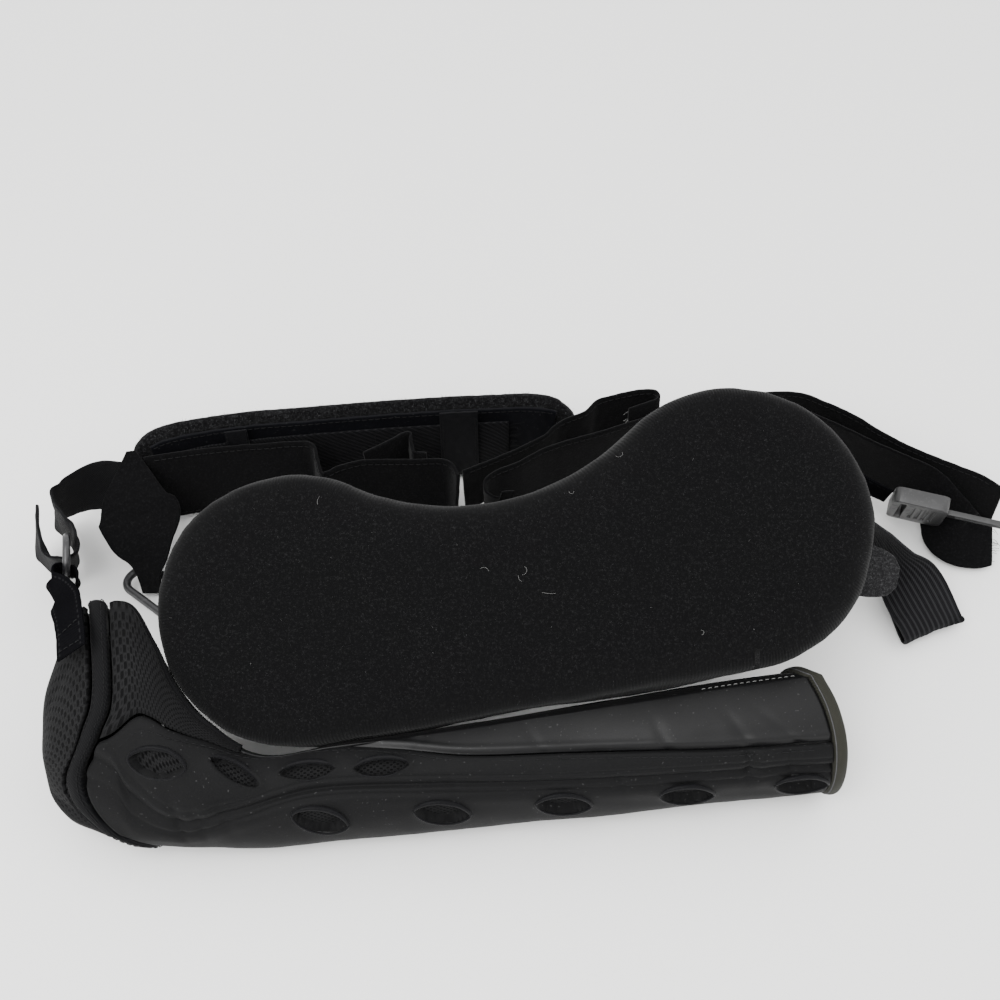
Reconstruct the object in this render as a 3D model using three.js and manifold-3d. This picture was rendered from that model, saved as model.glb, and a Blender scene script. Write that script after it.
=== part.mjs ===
// Arm sling with a kidney-shaped abduction pillow, lying as it was put down.
// Millimetres, +Z up, X along the forearm sleeve with the elbow at -X, the sleeve in front at -Y.
// The origin is on the floor, under the middle of the whole sling.
import * as THREE from "three";
import { mergeVertices } from "three/addons/utils/BufferGeometryUtils.js";
import Module from "manifold-3d";

const wasm = await Module();
wasm.setup();
const DEGREE = Math.PI / 180;

// Driving sizes

const CLEARANCE = 0.4; // between two pieces that touch

const pillow = {
  lobeSpacing: 207.5, // between the centres of the two lobes
  smallLobe: 64.5, // radius
  largeLobe: 67.5, // radius
  dip: 125, // radius of the hollow that fits the waist
  thickness: 66,
  edgeRound: 12,
  crown: 3, // how far the broad faces swell
  lean: 33, // of the broad face from the floor, in degrees
  turn: 10.5, // large end up, in its own plane
  middle: { x: 7.4, y: 65.5, z: 98.9 }, // of the line between the lobes, on the front face
};

const sleeve = {
  length: 376, // elbow nose to cuff
  height: 94, // elbow rim above the floor
  reach: 100, // depth that the section table's shares of y follow
  yaw: 5.5,
  foamWall: 5,
  fabricWall: 2.6,
  meshWall: 3,
  liningWall: 1.2,
  grooveDepth: 1.8, // pressed between the upper and lower foam pads
  bindingWidth: 8,
  bindingProud: 1.2,
  cuffWidth: 6.5,
  cuffProud: 1.6,
  rimWidth: 7,
};

const vent = { length: 25, width: 13 };
const pad = { width: 54, thickness: 8 };
const facing = { width: 44, thickness: 1.6 };
const smallKeeper = { width: 50, thickness: 1.2 };
const wideKeeper = { width: 52, thickness: 1.4 };
const belt = { width: 46, thickness: 2 };
const narrowBelt = { width: 40, thickness: 2 };
const webbing = { width: 37, thickness: 1.6 };
const satin = { width: 17, thickness: 1.4 };
const elastic = { width: 36, thickness: 1.6 };
const sideTab = { width: 26, thickness: 3.4 };
// The goods are laid out round the middle of the sleeve, then moved to the middle of their own box.
const middle = { x: 12.4, y: 100, lift: 1.3 };
const slideRing = {
  length: 50,
  width: 25,
  wire: 4,
  up: { x: 0.307, y: -0.37, z: 0.877 },
  normal: { x: 0.948, y: 0.206, z: -0.245 },
  at: { x: -228.5, y: 121, z: 26.5 },
};
const beltRing = { length: 50, width: 22, wire: 4.4, heading: -38, at: { x: -180.5, y: 114.5, z: 8 } };
const buckle = {
  length: 29,
  height: 31,
  thickness: 8.6,
  corner: 4,
  slot: { length: 3.4, height: 24, fromEnd: 4 },
  ribs: 4,
  ribDepth: 0.9,
  heading: -17,
  lean: 25,
  at: { x: 227.7, y: 158.8, z: 28 },
};
const plug = { length: 34, thickness: 3, height: 5, slot: 1.4, start: 15, drop: 0 };

// Where the straps lie: rows below give places as shares of these lengths from the sleeve's middle
const lay = { length: 250, depth: 200, height: 60 };

const colours = {
  knit: 0x151517,
  neoprene: 0x0c0c0e,
  foam: 0x161618,
  mesh: 0x121213,
  binding: 0x24241f,
  fleece: 0x1d1d1e,
  facing: 0x131319,
  loop: 0x121213,
  webbing: 0x0f0d0e,
  plastic: 0x4a4a4c,
};

function material(colour, roughness) {
  return new THREE.MeshStandardMaterial({ color: colour, roughness, metalness: 0 });
}

const finishes = {
  knit: material(colours.knit, 0.95),
  neoprene: material(colours.neoprene, 0.5),
  foam: material(colours.foam, 0.85),
  mesh: material(colours.mesh, 0.8),
  binding: material(colours.binding, 0.8),
  fleece: material(colours.fleece, 0.95),
  facing: material(colours.facing, 0.7),
  loop: material(colours.loop, 0.95),
  webbing: material(colours.webbing, 0.6),
  plastic: material(colours.plastic, 0.4),
};

// Solids

/** A manifold solid of a closed geometry, with its shared vertices merged. */
function toSolid(geometry) {
  const bare = geometry.index ? geometry.toNonIndexed() : geometry.clone();
  bare.deleteAttribute("normal");
  bare.deleteAttribute("uv");
  const merged = mergeVertices(bare, 1e-3);
  const corners = merged.index.array;
  const kept = [];
  for (let i = 0; i < corners.length; i += 3) {
    const [a, b, c] = [corners[i], corners[i + 1], corners[i + 2]];
    if (a !== b && b !== c && c !== a) kept.push(a, b, c);
  }
  return new wasm.Manifold(
    new wasm.Mesh({
      numProp: 3,
      vertProperties: merged.attributes.position.array,
      triVerts: new Uint32Array(kept),
    }),
  );
}

/** The three.js geometry of a manifold solid. */
function toGeometry(solid) {
  const mesh = solid.getMesh();
  const geometry = new THREE.BufferGeometry();
  const places = new Float32Array(mesh.numVert * 3);
  for (let i = 0; i < mesh.numVert; i++) {
    const start = i * mesh.numProp;
    places.set(mesh.vertProperties.subarray(start, start + 3), i * 3);
  }
  geometry.setAttribute("position", new THREE.BufferAttribute(places, 3));
  geometry.setIndex(new THREE.BufferAttribute(mesh.triVerts.slice(), 1));
  return geometry;
}

/**
 * A closed geometry from a rectangular grid of points on a front skin and one on a back skin.
 * The two skins are joined along each side of the grid, or closed on themselves along the columns.
 */
function skinned(front, back, loops = false) {
  const rows = front.length;
  const columns = front[0].length;
  const places = [];
  [...front, ...back].flat().forEach((p) => places.push(p.x, p.y, p.z));
  const f = (r, c) => r * columns + (c % columns);
  const b = (r, c) => rows * columns + f(r, c);
  const corners = [];
  const quad = (p, q, r, s) => corners.push(p, q, r, p, r, s);
  const across = loops ? columns : columns - 1;
  for (let r = 0; r < rows - 1; r++) {
    for (let c = 0; c < across; c++) {
      quad(f(r, c), f(r, c + 1), f(r + 1, c + 1), f(r + 1, c));
      quad(b(r, c), b(r + 1, c), b(r + 1, c + 1), b(r, c + 1));
    }
    if (!loops) {
      quad(f(r, 0), f(r + 1, 0), b(r + 1, 0), b(r, 0));
      quad(f(r + 1, across), f(r, across), b(r, across), b(r + 1, across));
    }
  }
  for (let c = 0; c < across; c++) {
    quad(f(0, c + 1), f(0, c), b(0, c), b(0, c + 1));
    quad(f(rows - 1, c), f(rows - 1, c + 1), b(rows - 1, c + 1), b(rows - 1, c));
  }
  const geometry = new THREE.BufferGeometry();
  geometry.setAttribute("position", new THREE.Float32BufferAttribute(places, 3));
  geometry.setIndex(corners);
  return outward(geometry);
}

/** The geometry with its faces pointing out, whichever way its grid ran. */
function outward(geometry) {
  const at = geometry.attributes.position;
  const corners = geometry.index.array;
  const [a, b, c] = [new THREE.Vector3(), new THREE.Vector3(), new THREE.Vector3()];
  let volume = 0;
  for (let i = 0; i < corners.length; i += 3) {
    a.fromBufferAttribute(at, corners[i]);
    b.fromBufferAttribute(at, corners[i + 1]);
    c.fromBufferAttribute(at, corners[i + 2]);
    volume += a.dot(b.cross(c));
  }
  if (volume < 0) {
    for (let i = 0; i < corners.length; i += 3) {
      [corners[i + 1], corners[i + 2]] = [corners[i + 2], corners[i + 1]];
    }
  }
  return toGeometry(toSolid(geometry));
}

/** A value between the rows of a table, by a smooth curve through the column. */
function smooth(rows, column, place) {
  const last = rows.length - 1;
  const i = Math.min(Math.max(Math.floor(place), 0), last - 1);
  const t = place - i;
  const at = (k) => rows[Math.min(Math.max(k, 0), last)][column];
  const [p, q, r, s] = [at(i - 1), at(i), at(i + 1), at(i + 2)];
  const slopeIn = (r - p) / 2;
  const slopeOut = (s - q) / 2;
  const [t2, t3] = [t * t, t * t * t];
  return (
    q * (2 * t3 - 3 * t2 + 1) + slopeIn * (t3 - 2 * t2 + t) + r * (3 * t2 - 2 * t3) + slopeOut * (t3 - t2)
  );
}

/** The place in a table, as a fractional row, where an increasing column has a value. */
function rowWhere(rows, column, value) {
  let low = 0;
  let high = rows.length - 1;
  for (let k = 0; k < 30; k++) {
    const middle = (low + high) / 2;
    if (smooth(rows, column, middle) < value) low = middle;
    else high = middle;
  }
  return (low + high) / 2;
}

const root = new THREE.Group();
root.position.set(-middle.x, -middle.y, middle.lift);

function addMesh(name, geometry, finish, parent = root) {
  const mesh = new THREE.Mesh(geometry, finish);
  mesh.name = name;
  parent.add(mesh);
  return mesh;
}

// Pillow

/** Points round the kidney outline, moved inwards by an inset, counter-clockwise. */
function kidney(inset, perArc) {
  const half = pillow.lobeSpacing / 2;
  const small = { x: -half, y: 0, r: pillow.smallLobe };
  const large = { x: half, y: 0, r: pillow.largeLobe };
  const dipReach = [small.r + pillow.dip, large.r + pillow.dip];
  const dipX = (dipReach[0] ** 2 - dipReach[1] ** 2) / (2 * pillow.lobeSpacing);
  const dipY = Math.sqrt(dipReach[0] ** 2 - (dipX + half) ** 2);
  const base = -Math.acos((small.r - large.r) / pillow.lobeSpacing);
  const toDip = (lobe) => Math.atan2(dipY - lobe.y, dipX - lobe.x);
  const arcs = [
    { ...small, from: toDip(small), to: base + 2 * Math.PI, count: perArc },
    { ...small, from: base, to: base, count: 1 },
    { ...large, from: base, to: toDip(large), count: perArc },
    { x: dipX, y: dipY, r: -pillow.dip, from: toDip(large), to: toDip(small), count: perArc },
  ];
  const points = [];
  for (const arc of arcs) {
    for (let k = 0; k < arc.count; k++) {
      const angle = arc.from + ((arc.to - arc.from) * k) / arc.count;
      const r = arc.r - inset;
      points.push(new THREE.Vector2(arc.x + r * Math.cos(angle), arc.y + r * Math.sin(angle)));
    }
  }
  return points;
}

/** The foam pillow in its own frame: the broad front face at z 0, the back face at -thickness. */
function pillowGeometry() {
  const perArc = 11;
  const edgeSteps = 4;
  const rings = [];
  const ring = (inset, z) => rings.push(kidney(inset, perArc).map((p) => new THREE.Vector3(p.x, p.y, z)));
  const round = pillow.edgeRound;
  const crownInsets = [46, 30, 18];
  const crownAt = (inset) => pillow.crown * Math.sin(((inset - round) / (46 - round)) * (Math.PI / 2));
  crownInsets.forEach((inset) => ring(inset, crownAt(inset)));
  for (let k = 0; k <= edgeSteps; k++) {
    const angle = ((k / edgeSteps) * Math.PI) / 2;
    ring(round * (1 - Math.sin(angle)), -round * (1 - Math.cos(angle)));
  }
  for (let k = edgeSteps; k >= 0; k--) {
    const angle = ((k / edgeSteps) * Math.PI) / 2;
    ring(round * (1 - Math.sin(angle)), -pillow.thickness + round * (1 - Math.cos(angle)));
  }
  [...crownInsets].reverse().forEach((inset) => ring(inset, -pillow.thickness - crownAt(inset)));
  return capped(rings);
}

/** A closed geometry through a stack of rings, with its first and last ring filled flat. */
function capped(rings) {
  const count = rings[0].length;
  const places = [];
  rings.flat().forEach((p) => places.push(p.x, p.y, p.z));
  const corners = [];
  for (let r = 0; r < rings.length - 1; r++) {
    for (let c = 0; c < count; c++) {
      const [p, q] = [r * count + c, r * count + ((c + 1) % count)];
      corners.push(p, q, q + count, p, q + count, p + count);
    }
  }
  const fill = (ring, start, flip) => {
    const flat = ring.map((p) => new THREE.Vector2(p.x, p.y));
    for (const [a, b, c] of THREE.ShapeUtils.triangulateShape(flat, [])) {
      corners.push(start + a, start + (flip ? b : c), start + (flip ? c : b));
    }
  };
  fill(rings[0], 0, false);
  fill(rings.at(-1), (rings.length - 1) * count, true);
  const geometry = new THREE.BufferGeometry();
  geometry.setAttribute("position", new THREE.Float32BufferAttribute(places, 3));
  geometry.setIndex(corners);
  return outward(geometry);
}

// Sleeve: one skin, of which each panel covers a patch. A place on the skin is a station along the
// table below and a girth from 0 at the crown, 1 at the front, 2 on the floor, 3 at the back to 4.

// x in shares of the length, y in shares of the reach, heights in shares of the height
const sections = [
  { x: -0.559, front: 0.2, crown: 0.26, back: 0.3, base: 0.26, top: 0.4, belly: 0.4, bow: 1.5 },
  { x: -0.551, front: 0.08, crown: 0.36, back: 0.48, base: 0.12, top: 0.56, belly: 0.35, bow: 1.4 },
  { x: -0.53, front: -0.02, crown: 0.5, back: 0.64, base: 0.03, top: 0.75, belly: 0.3, bow: 1.35 },
  { x: -0.495, front: -0.1, crown: 0.64, back: 0.74, base: 0.005, top: 0.95, belly: 0.26, bow: 1.3 },
  { x: -0.46, front: -0.155, crown: 0.655, back: 0.76, base: 0, top: 1, belly: 0.24, bow: 1.35 },
  { x: -0.432, front: -0.178, crown: 0.64, back: 0.74, base: 0, top: 0.985, belly: 0.24, bow: 1.4 },
  { x: -0.41, front: -0.19, crown: 0.5, back: 0.64, base: 0, top: 0.88, belly: 0.27, bow: 1.5 },
  { x: -0.385, front: -0.2, crown: 0.3, back: 0.48, base: 0, top: 0.745, belly: 0.31, bow: 1.6 },
  { x: -0.35, front: -0.208, crown: 0.165, back: 0.34, base: 0, top: 0.63, belly: 0.36, bow: 1.8 },
  { x: -0.287, front: -0.218, crown: 0.055, back: 0.18, base: 0, top: 0.51, belly: 0.4, bow: 2 },
  { x: -0.186, front: -0.222, crown: 0.065, back: 0.2, base: 0, top: 0.53, belly: 0.42, bow: 2.1 },
  { x: 0.053, front: -0.225, crown: 0.095, back: 0.27, base: 0, top: 0.59, belly: 0.42, bow: 2.1 },
  { x: 0.293, front: -0.22, crown: 0.14, back: 0.34, base: 0, top: 0.645, belly: 0.42, bow: 2.1 },
  { x: 0.441, front: -0.21, crown: 0.17, back: 0.37, base: 0.005, top: 0.645, belly: 0.42, bow: 2.1 },
];
const backBow = 1.45;
const floorBow = 2.3;

/** A point of the sleeve's skin, in the sleeve's frame. */
function skinPoint(station, girth) {
  const at = (column) => smooth(sections, column, station);
  const [front, crown, back] = ["front", "crown", "back"].map((c) => at(c) * sleeve.reach);
  const [base, top] = ["base", "top"].map((c) => at(c) * sleeve.height);
  const bellyZ = base + at("belly") * (top - base);
  const floorY = front + 0.5 * (back - front);
  const turned = ((girth % 4) + 4) % 4;
  const quarter = Math.floor(turned);
  const angle = ((turned - quarter) * Math.PI) / 2;
  const bow = [at("bow"), floorBow, floorBow, backBow][quarter];
  const away = Math.abs(Math.sin(angle)) ** (2 / bow);
  const along = Math.abs(Math.cos(angle)) ** (2 / bow);
  const [y, z] = [
    () => [crown + (front - crown) * away, bellyZ + (top - bellyZ) * along],
    () => [floorY + (front - floorY) * along, bellyZ + (base - bellyZ) * away],
    () => [floorY + (back - floorY) * away, bellyZ + (base - bellyZ) * along],
    () => [crown + (back - crown) * along, bellyZ + (top - bellyZ) * away],
  ][quarter]();
  return new THREE.Vector3(at("x") * sleeve.length, y, z);
}

/** A point of the sleeve moved out from the skin, or in where the offset is negative. */
function sleevePoint(station, girth, offset) {
  const step = 0.02;
  const last = sections.length - 1;
  const [before, after] = [Math.max(station - step, 0), Math.min(station + step, last)];
  const along = skinPoint(after, girth).sub(skinPoint(before, girth));
  const round = skinPoint(station, girth + step).sub(skinPoint(station, girth - step));
  const normal = round.cross(along).normalize();
  return skinPoint(station, girth).addScaledVector(normal, offset);
}

const stationAt = (x) => rowWhere(sections, "x", x / sleeve.length);

// Left edge of the panels, where the elbow's binding runs: x in shares of the length, by girth
const elbowSeam = [
  { girth: -0.6, x: -0.47 },
  { girth: 0, x: -0.47 },
  { girth: 0.38, x: -0.468 },
  { girth: 0.52, x: -0.486 },
  { girth: 0.66, x: -0.512 },
  { girth: 0.8, x: -0.507 },
  { girth: 0.94, x: -0.48 },
  { girth: 1.1, x: -0.445 },
  { girth: 1.4, x: -0.425 },
  { girth: 2.2, x: -0.42 },
  { girth: 3, x: -0.44 },
  { girth: 3.6, x: -0.47 },
  { girth: 4.2, x: -0.47 },
];
const elbowSeamX = (girth) => smooth(elbowSeam, "x", rowWhere(elbowSeam, "girth", girth)) * sleeve.length;

// The cuff's outer edge, by girth
const cuffEdge = [
  { girth: -1, x: 0.388 },
  { girth: -0.3, x: 0.39 },
  { girth: 0, x: 0.402 },
  { girth: 0.3, x: 0.414 },
  { girth: 0.7, x: 0.42 },
  { girth: 1.5, x: 0.42 },
  { girth: 2.2, x: 0.41 },
  { girth: 3, x: 0.388 },
  { girth: 3.7, x: 0.39 },
  { girth: 4, x: 0.402 },
];
const cuffX = (girth) => smooth(cuffEdge, "x", rowWhere(cuffEdge, "girth", girth)) * sleeve.length;

// Girths by x in shares of the length: the lower edge of the front panels and the pressed groove
const panelSeam = [
  { x: -0.6, girth: 0.62 },
  { x: -0.47, girth: 0.54 },
  { x: -0.41, girth: 0.38 },
  { x: -0.35, girth: 0.12 },
  { x: -0.28, girth: -0.03 },
  { x: -0.2, girth: -0.02 },
  { x: -0.12, girth: 0.1 },
  { x: -0.04, girth: 0.25 },
  { x: 0.07, girth: 0.34 },
  { x: 0.18, girth: 0.43 },
  { x: 0.29, girth: 0.51 },
  { x: 0.5, girth: 0.56 },
];
const groove = [
  { x: -0.6, girth: 0.57 },
  { x: -0.474, girth: 0.61 },
  { x: -0.443, girth: 0.72 },
  { x: -0.404, girth: 0.79 },
  { x: -0.363, girth: 0.76 },
  { x: -0.314, girth: 0.58 },
  { x: -0.265, girth: 0.42 },
  { x: -0.205, girth: 0.39 },
  { x: -0.085, girth: 0.48 },
  { x: 0.068, girth: 0.61 },
  { x: 0.237, girth: 0.7 },
  { x: 0.5, girth: 0.8 },
];
const girthAt = (rows, x) => smooth(rows, "girth", rowWhere(rows, "x", x / sleeve.length));

const frontHem = -0.3; // girth of the front panel's top edge
const backHem = 3.42; // girth of the back panel's top edge
const foamEnd = 1.8; // girth where the foam ends under the sleeve
const girthGap = 0.018; // keeps two panels clear of each other along a seam
const seamGap = 1.8; // more than the gap, because the two edges of a curved seam are cut in straights
const panelEnd = (girth) => cuffX(girth) - sleeve.cuffWidth - 0.8;

/** A patch of the sleeve between two offsets: place(s, t) gives x and girth for s and t in 0 to 1. */
function panel(place, outer, inner, columns, shares) {
  const rows = Array.isArray(shares) ? shares : Array.from({ length: shares + 1 }, (_, r) => r / shares);
  const grid = (offset) =>
    rows.map((t) =>
      Array.from({ length: columns + 1 }, (_, c) => {
        const { x, girth } = place(c / columns, t);
        const away = typeof offset === "function" ? offset(x, girth) : offset;
        return sleevePoint(stationAt(x), girth, away);
      }),
    );
  return skinned(grid(outer), grid(inner));
}

/** A band that closes on itself round the sleeve, between two edges given as x by girth. */
function band(leftX, rightX, outer, inner, round, rows = 2) {
  const grid = (offset) =>
    Array.from({ length: rows + 1 }, (_, r) =>
      Array.from({ length: round }, (_, c) => {
        const girth = (4 * c) / round;
        const x = leftX(girth) + ((rightX(girth) - leftX(girth)) * r) / rows;
        return sleevePoint(stationAt(x), girth, offset);
      }),
    );
  return skinned(grid(outer), grid(inner), true);
}

const mix = (a, b, t) => a + (b - a) * t;
const half = sleeve.bindingWidth / 2;
const panelStart = (girth) => elbowSeamX(girth) + half + seamGap;

/** The bowl of mesh round the elbow, closed at its nose. */
function elbowBowl() {
  const [round, rows] = [30, 6];
  const grid = (offset, nose) => {
    const made = [];
    for (let r = 0; r <= rows; r++) {
      made.push(
        Array.from({ length: round }, (_, c) => {
          const girth = (4 * c) / round;
          const end = stationAt(elbowSeamX(girth) - half - seamGap);
          return r === 0 ? nose : sleevePoint(mix(0.15, end, (r - 1) / (rows - 1)), girth, offset);
        }),
      );
    }
    return made;
  };
  const nose = sections[0];
  const noseAt = (inset) =>
    new THREE.Vector3(
      nose.x * sleeve.length + inset,
      (sleeve.reach * (nose.front + nose.back)) / 2,
      (sleeve.height * (nose.base + nose.top)) / 2,
    );
  return skinned(grid(0, noseAt(0)), grid(-sleeve.meshWall, noseAt(sleeve.meshWall)), true);
}

/** An almond-shaped cutter that stands through the sleeve's wall. */
function ventCutter(x, girth, tilt) {
  const shape = new THREE.Shape();
  const [a, b] = [vent.length / 2, vent.width / 2];
  const steps = 12;
  for (let k = 0; k < steps; k++) {
    const angle = (2 * Math.PI * k) / steps;
    const point = [a * Math.cos(angle), b * Math.sin(angle) * Math.abs(Math.sin(angle)) ** 0.25];
    if (k === 0) shape.moveTo(...point);
    else shape.lineTo(...point);
  }
  const depth = 3 * sleeve.foamWall;
  const cutter = new THREE.ExtrudeGeometry(shape, { depth, bevelEnabled: false });
  cutter.translate(0, 0, -depth / 2);
  const station = stationAt(x);
  const centre = sleevePoint(station, girth, 0);
  const normal = sleevePoint(station, girth, 1).sub(centre);
  const along = skinPoint(stationAt(x + 2), girth).sub(centre);
  along.addScaledVector(normal, -along.dot(normal)).normalize();
  const basis = new THREE.Matrix4().makeBasis(along, normal.clone().cross(along), normal);
  const turned = new THREE.Matrix4().makeTranslation(centre).multiply(basis);
  cutter.applyMatrix4(turned.multiply(new THREE.Matrix4().makeRotationZ(tilt * DEGREE)));
  return toSolid(cutter);
}

// Vents: x in shares of the length, girth, and tilt in degrees
const vents = [
  { x: -0.405, girth: 0.53, tilt: -14 },
  { x: -0.317, girth: 0.24, tilt: -8 },
  { x: -0.232, girth: 0.19, tilt: -4 },
  { x: -0.143, girth: 0.25, tilt: -2 },
  { x: -0.221, girth: 0.74, tilt: -24 },
  { x: -0.075, girth: 0.81, tilt: -16 },
  { x: 0.072, girth: 0.87, tilt: -12 },
  { x: 0.223, girth: 0.92, tilt: -10 },
  { x: 0.366, girth: 0.95, tilt: -8 },
];

function buildSleeve() {
  const group = new THREE.Group();
  group.rotation.z = sleeve.yaw * DEGREE;
  root.add(group);

  const foamPlace = (s, t) => {
    let girth = 1;
    let x = 0;
    // The edge girth depends on x and the edge x on girth, so the two are settled together.
    for (let k = 0; k < 8; k++) {
      x = mix(panelStart(girth) + 0.6 * seamGap, panelEnd(girth), s);
      const nearCrown = Math.exp(-1 * ((x / sleeve.length + 0.25) / 0.07) ** 2);
      const top = girthAt(panelSeam, x) + (1 + 2.4 * nearCrown) * girthGap;
      const pressed = Math.max(girthAt(groove, x), top + 0.1);
      girth = t < 0.5 ? mix(top, pressed, 2 * t) : mix(pressed, foamEnd, 2 * t - 1);
    }
    return { x, girth };
  };
  const pressedIn = (x, girth) =>
    -sleeve.grooveDepth * Math.exp(-(((girth - girthAt(groove, x)) / 0.035) ** 2));
  const foamRows = [0, 0.2, 0.38, 0.46, 0.5, 0.52, 0.56, 0.64, 0.72, 0.8, 0.87, 0.93, 1];
  const foamBlank = toSolid(panel(foamPlace, pressedIn, -sleeve.foamWall, 26, foamRows));
  const cut = vents.reduce(
    (solid, v) => solid.subtract(ventCutter(v.x * sleeve.length, v.girth, v.tilt)),
    foamBlank,
  );
  addMesh("sleeve_foam_shell", toGeometry(cut), finishes.foam, group);

  const inner = -sleeve.foamWall - 5 * CLEARANCE;
  addMesh("sleeve_mesh_lining", panel(foamPlace, inner, inner - sleeve.liningWall, 20, 7), finishes.mesh, group);

  const smoothStart = -0.31 * sleeve.length;
  const frontPlace = (s, t) => {
    let girth = 0;
    let x = 0;
    for (let k = 0; k < 8; k++) {
      x = mix(smoothStart, panelEnd(girth), s);
      girth = mix(frontHem, girthAt(panelSeam, x) - girthGap, t);
    }
    return { x, girth };
  };
  addMesh("sleeve_front_panel", panel(frontPlace, 0, -sleeve.fabricWall, 26, 4), finishes.neoprene, group);

  const rimGirth = sleeve.rimWidth / 60;
  const meshPlace = (s, t) => {
    let girth = 0;
    let x = 0;
    for (let k = 0; k < 8; k++) {
      x = mix(panelStart(girth), smoothStart - CLEARANCE, s);
      girth = mix(frontHem + rimGirth, girthAt(panelSeam, x) - girthGap, t);
    }
    return { x, girth };
  };
  addMesh("elbow_mesh_panel", panel(meshPlace, 0, -sleeve.meshWall, 14, 8), finishes.mesh, group);
  const rimPlace = (s, t) => {
    const girth = mix(frontHem, frontHem + rimGirth - girthGap, t);
    return { x: mix(panelStart(girth), smoothStart - CLEARANCE, s), girth };
  };
  const proud = sleeve.bindingProud;
  addMesh("elbow_rim_binding", panel(rimPlace, proud, -sleeve.meshWall - proud, 14, 2), finishes.binding, group);

  const backPlace = (s, t) => {
    const girth = mix(foamEnd + girthGap, backHem, t);
    return { x: mix(panelStart(girth), panelEnd(girth), s), girth };
  };
  addMesh("sleeve_back_panel", panel(backPlace, 0, -sleeve.fabricWall, 22, 7), finishes.neoprene, group);

  addMesh("elbow_end_mesh", elbowBowl(), finishes.mesh, group);
  const bindingLeft = (girth) => elbowSeamX(girth) - half + 0.5;
  const bindingRight = (girth) => elbowSeamX(girth) + half;
  const bindingIn = -sleeve.meshWall - proud;
  addMesh("elbow_binding", band(bindingLeft, bindingRight, proud, bindingIn, 38), finishes.binding, group);
  const cuffLeft = (girth) => cuffX(girth) - sleeve.cuffWidth;
  const cuffIn = -sleeve.foamWall - sleeve.liningWall - 5 * CLEARANCE;
  addMesh("cuff_binding", band(cuffLeft, cuffX, sleeve.cuffProud, cuffIn, 34), finishes.binding, group);
  return group;
}

// Straps

/**
 * A flat strap. Each row gives its middle as shares of the lay, and the way its width points as a
 * heading and a pitch in degrees; spread widens or narrows it. Lift moves it along its normal.
 */
function strapGeometry(rows, { width, thickness }, steps, { lift = 0, from = 0, to = 1, columns = 1 } = {}) {
  const front = [];
  const back = [];
  const last = rows.length - 1;
  const centre = (place) =>
    new THREE.Vector3(
      smooth(rows, "x", place) * lay.length,
      smooth(rows, "y", place) * lay.depth,
      smooth(rows, "z", place) * lay.height,
    );
  for (let k = 0; k <= steps; k++) {
    const place = last * mix(from, to, k / steps);
    const along = centre(Math.min(place + 0.01, last)).sub(centre(Math.max(place - 0.01, 0))).normalize();
    const heading = smooth(rows, "heading", place) * DEGREE;
    const pitch = smooth(rows, "pitch", place) * DEGREE;
    const across = new THREE.Vector3(
      Math.cos(pitch) * Math.cos(heading),
      Math.cos(pitch) * Math.sin(heading),
      Math.sin(pitch),
    );
    across.addScaledVector(along, -across.dot(along)).normalize();
    const normal = along.clone().cross(across);
    const wide = width * (rows[0].spread === undefined ? 1 : smooth(rows, "spread", place));
    const line = (side) =>
      Array.from({ length: columns + 1 }, (_, c) =>
        centre(place)
          .addScaledVector(across, wide * (c / columns - 0.5))
          .addScaledVector(normal, lift + (side * thickness) / 2),
      );
    front.push(line(1));
    back.push(line(-1));
  }
  return skinned(front, back);
}

// The shoulder pad stands on its long edge behind everything, its facing to the front.
const padRows = [
  { x: -0.786, y: 0.93, z: 0.47, heading: 90, pitch: 90, spread: 0.42 },
  { x: -0.779, y: 0.938, z: 0.48, heading: 90, pitch: 90, spread: 0.8 },
  { x: -0.734, y: 0.96, z: 0.49, heading: 90, pitch: 90, spread: 1 },
  { x: -0.65, y: 0.99, z: 0.49, heading: 90, pitch: 90, spread: 1 },
  { x: -0.544, y: 1.015, z: 0.49, heading: 90, pitch: 90, spread: 1 },
  { x: -0.437, y: 1.03, z: 0.49, heading: 90, pitch: 90, spread: 1 },
  { x: -0.219, y: 1.06, z: 0.49, heading: 90, pitch: 90, spread: 1 },
  { x: 0, y: 1.08, z: 0.49, heading: 90, pitch: 90, spread: 1 },
  { x: 0.09, y: 1.08, z: 0.49, heading: 90, pitch: 90, spread: 1 },
  { x: 0.13, y: 1.08, z: 0.48, heading: 90, pitch: 90, spread: 0.8 },
  { x: 0.139, y: 1.08, z: 0.47, heading: 90, pitch: 90, spread: 0.42 },
];

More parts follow.
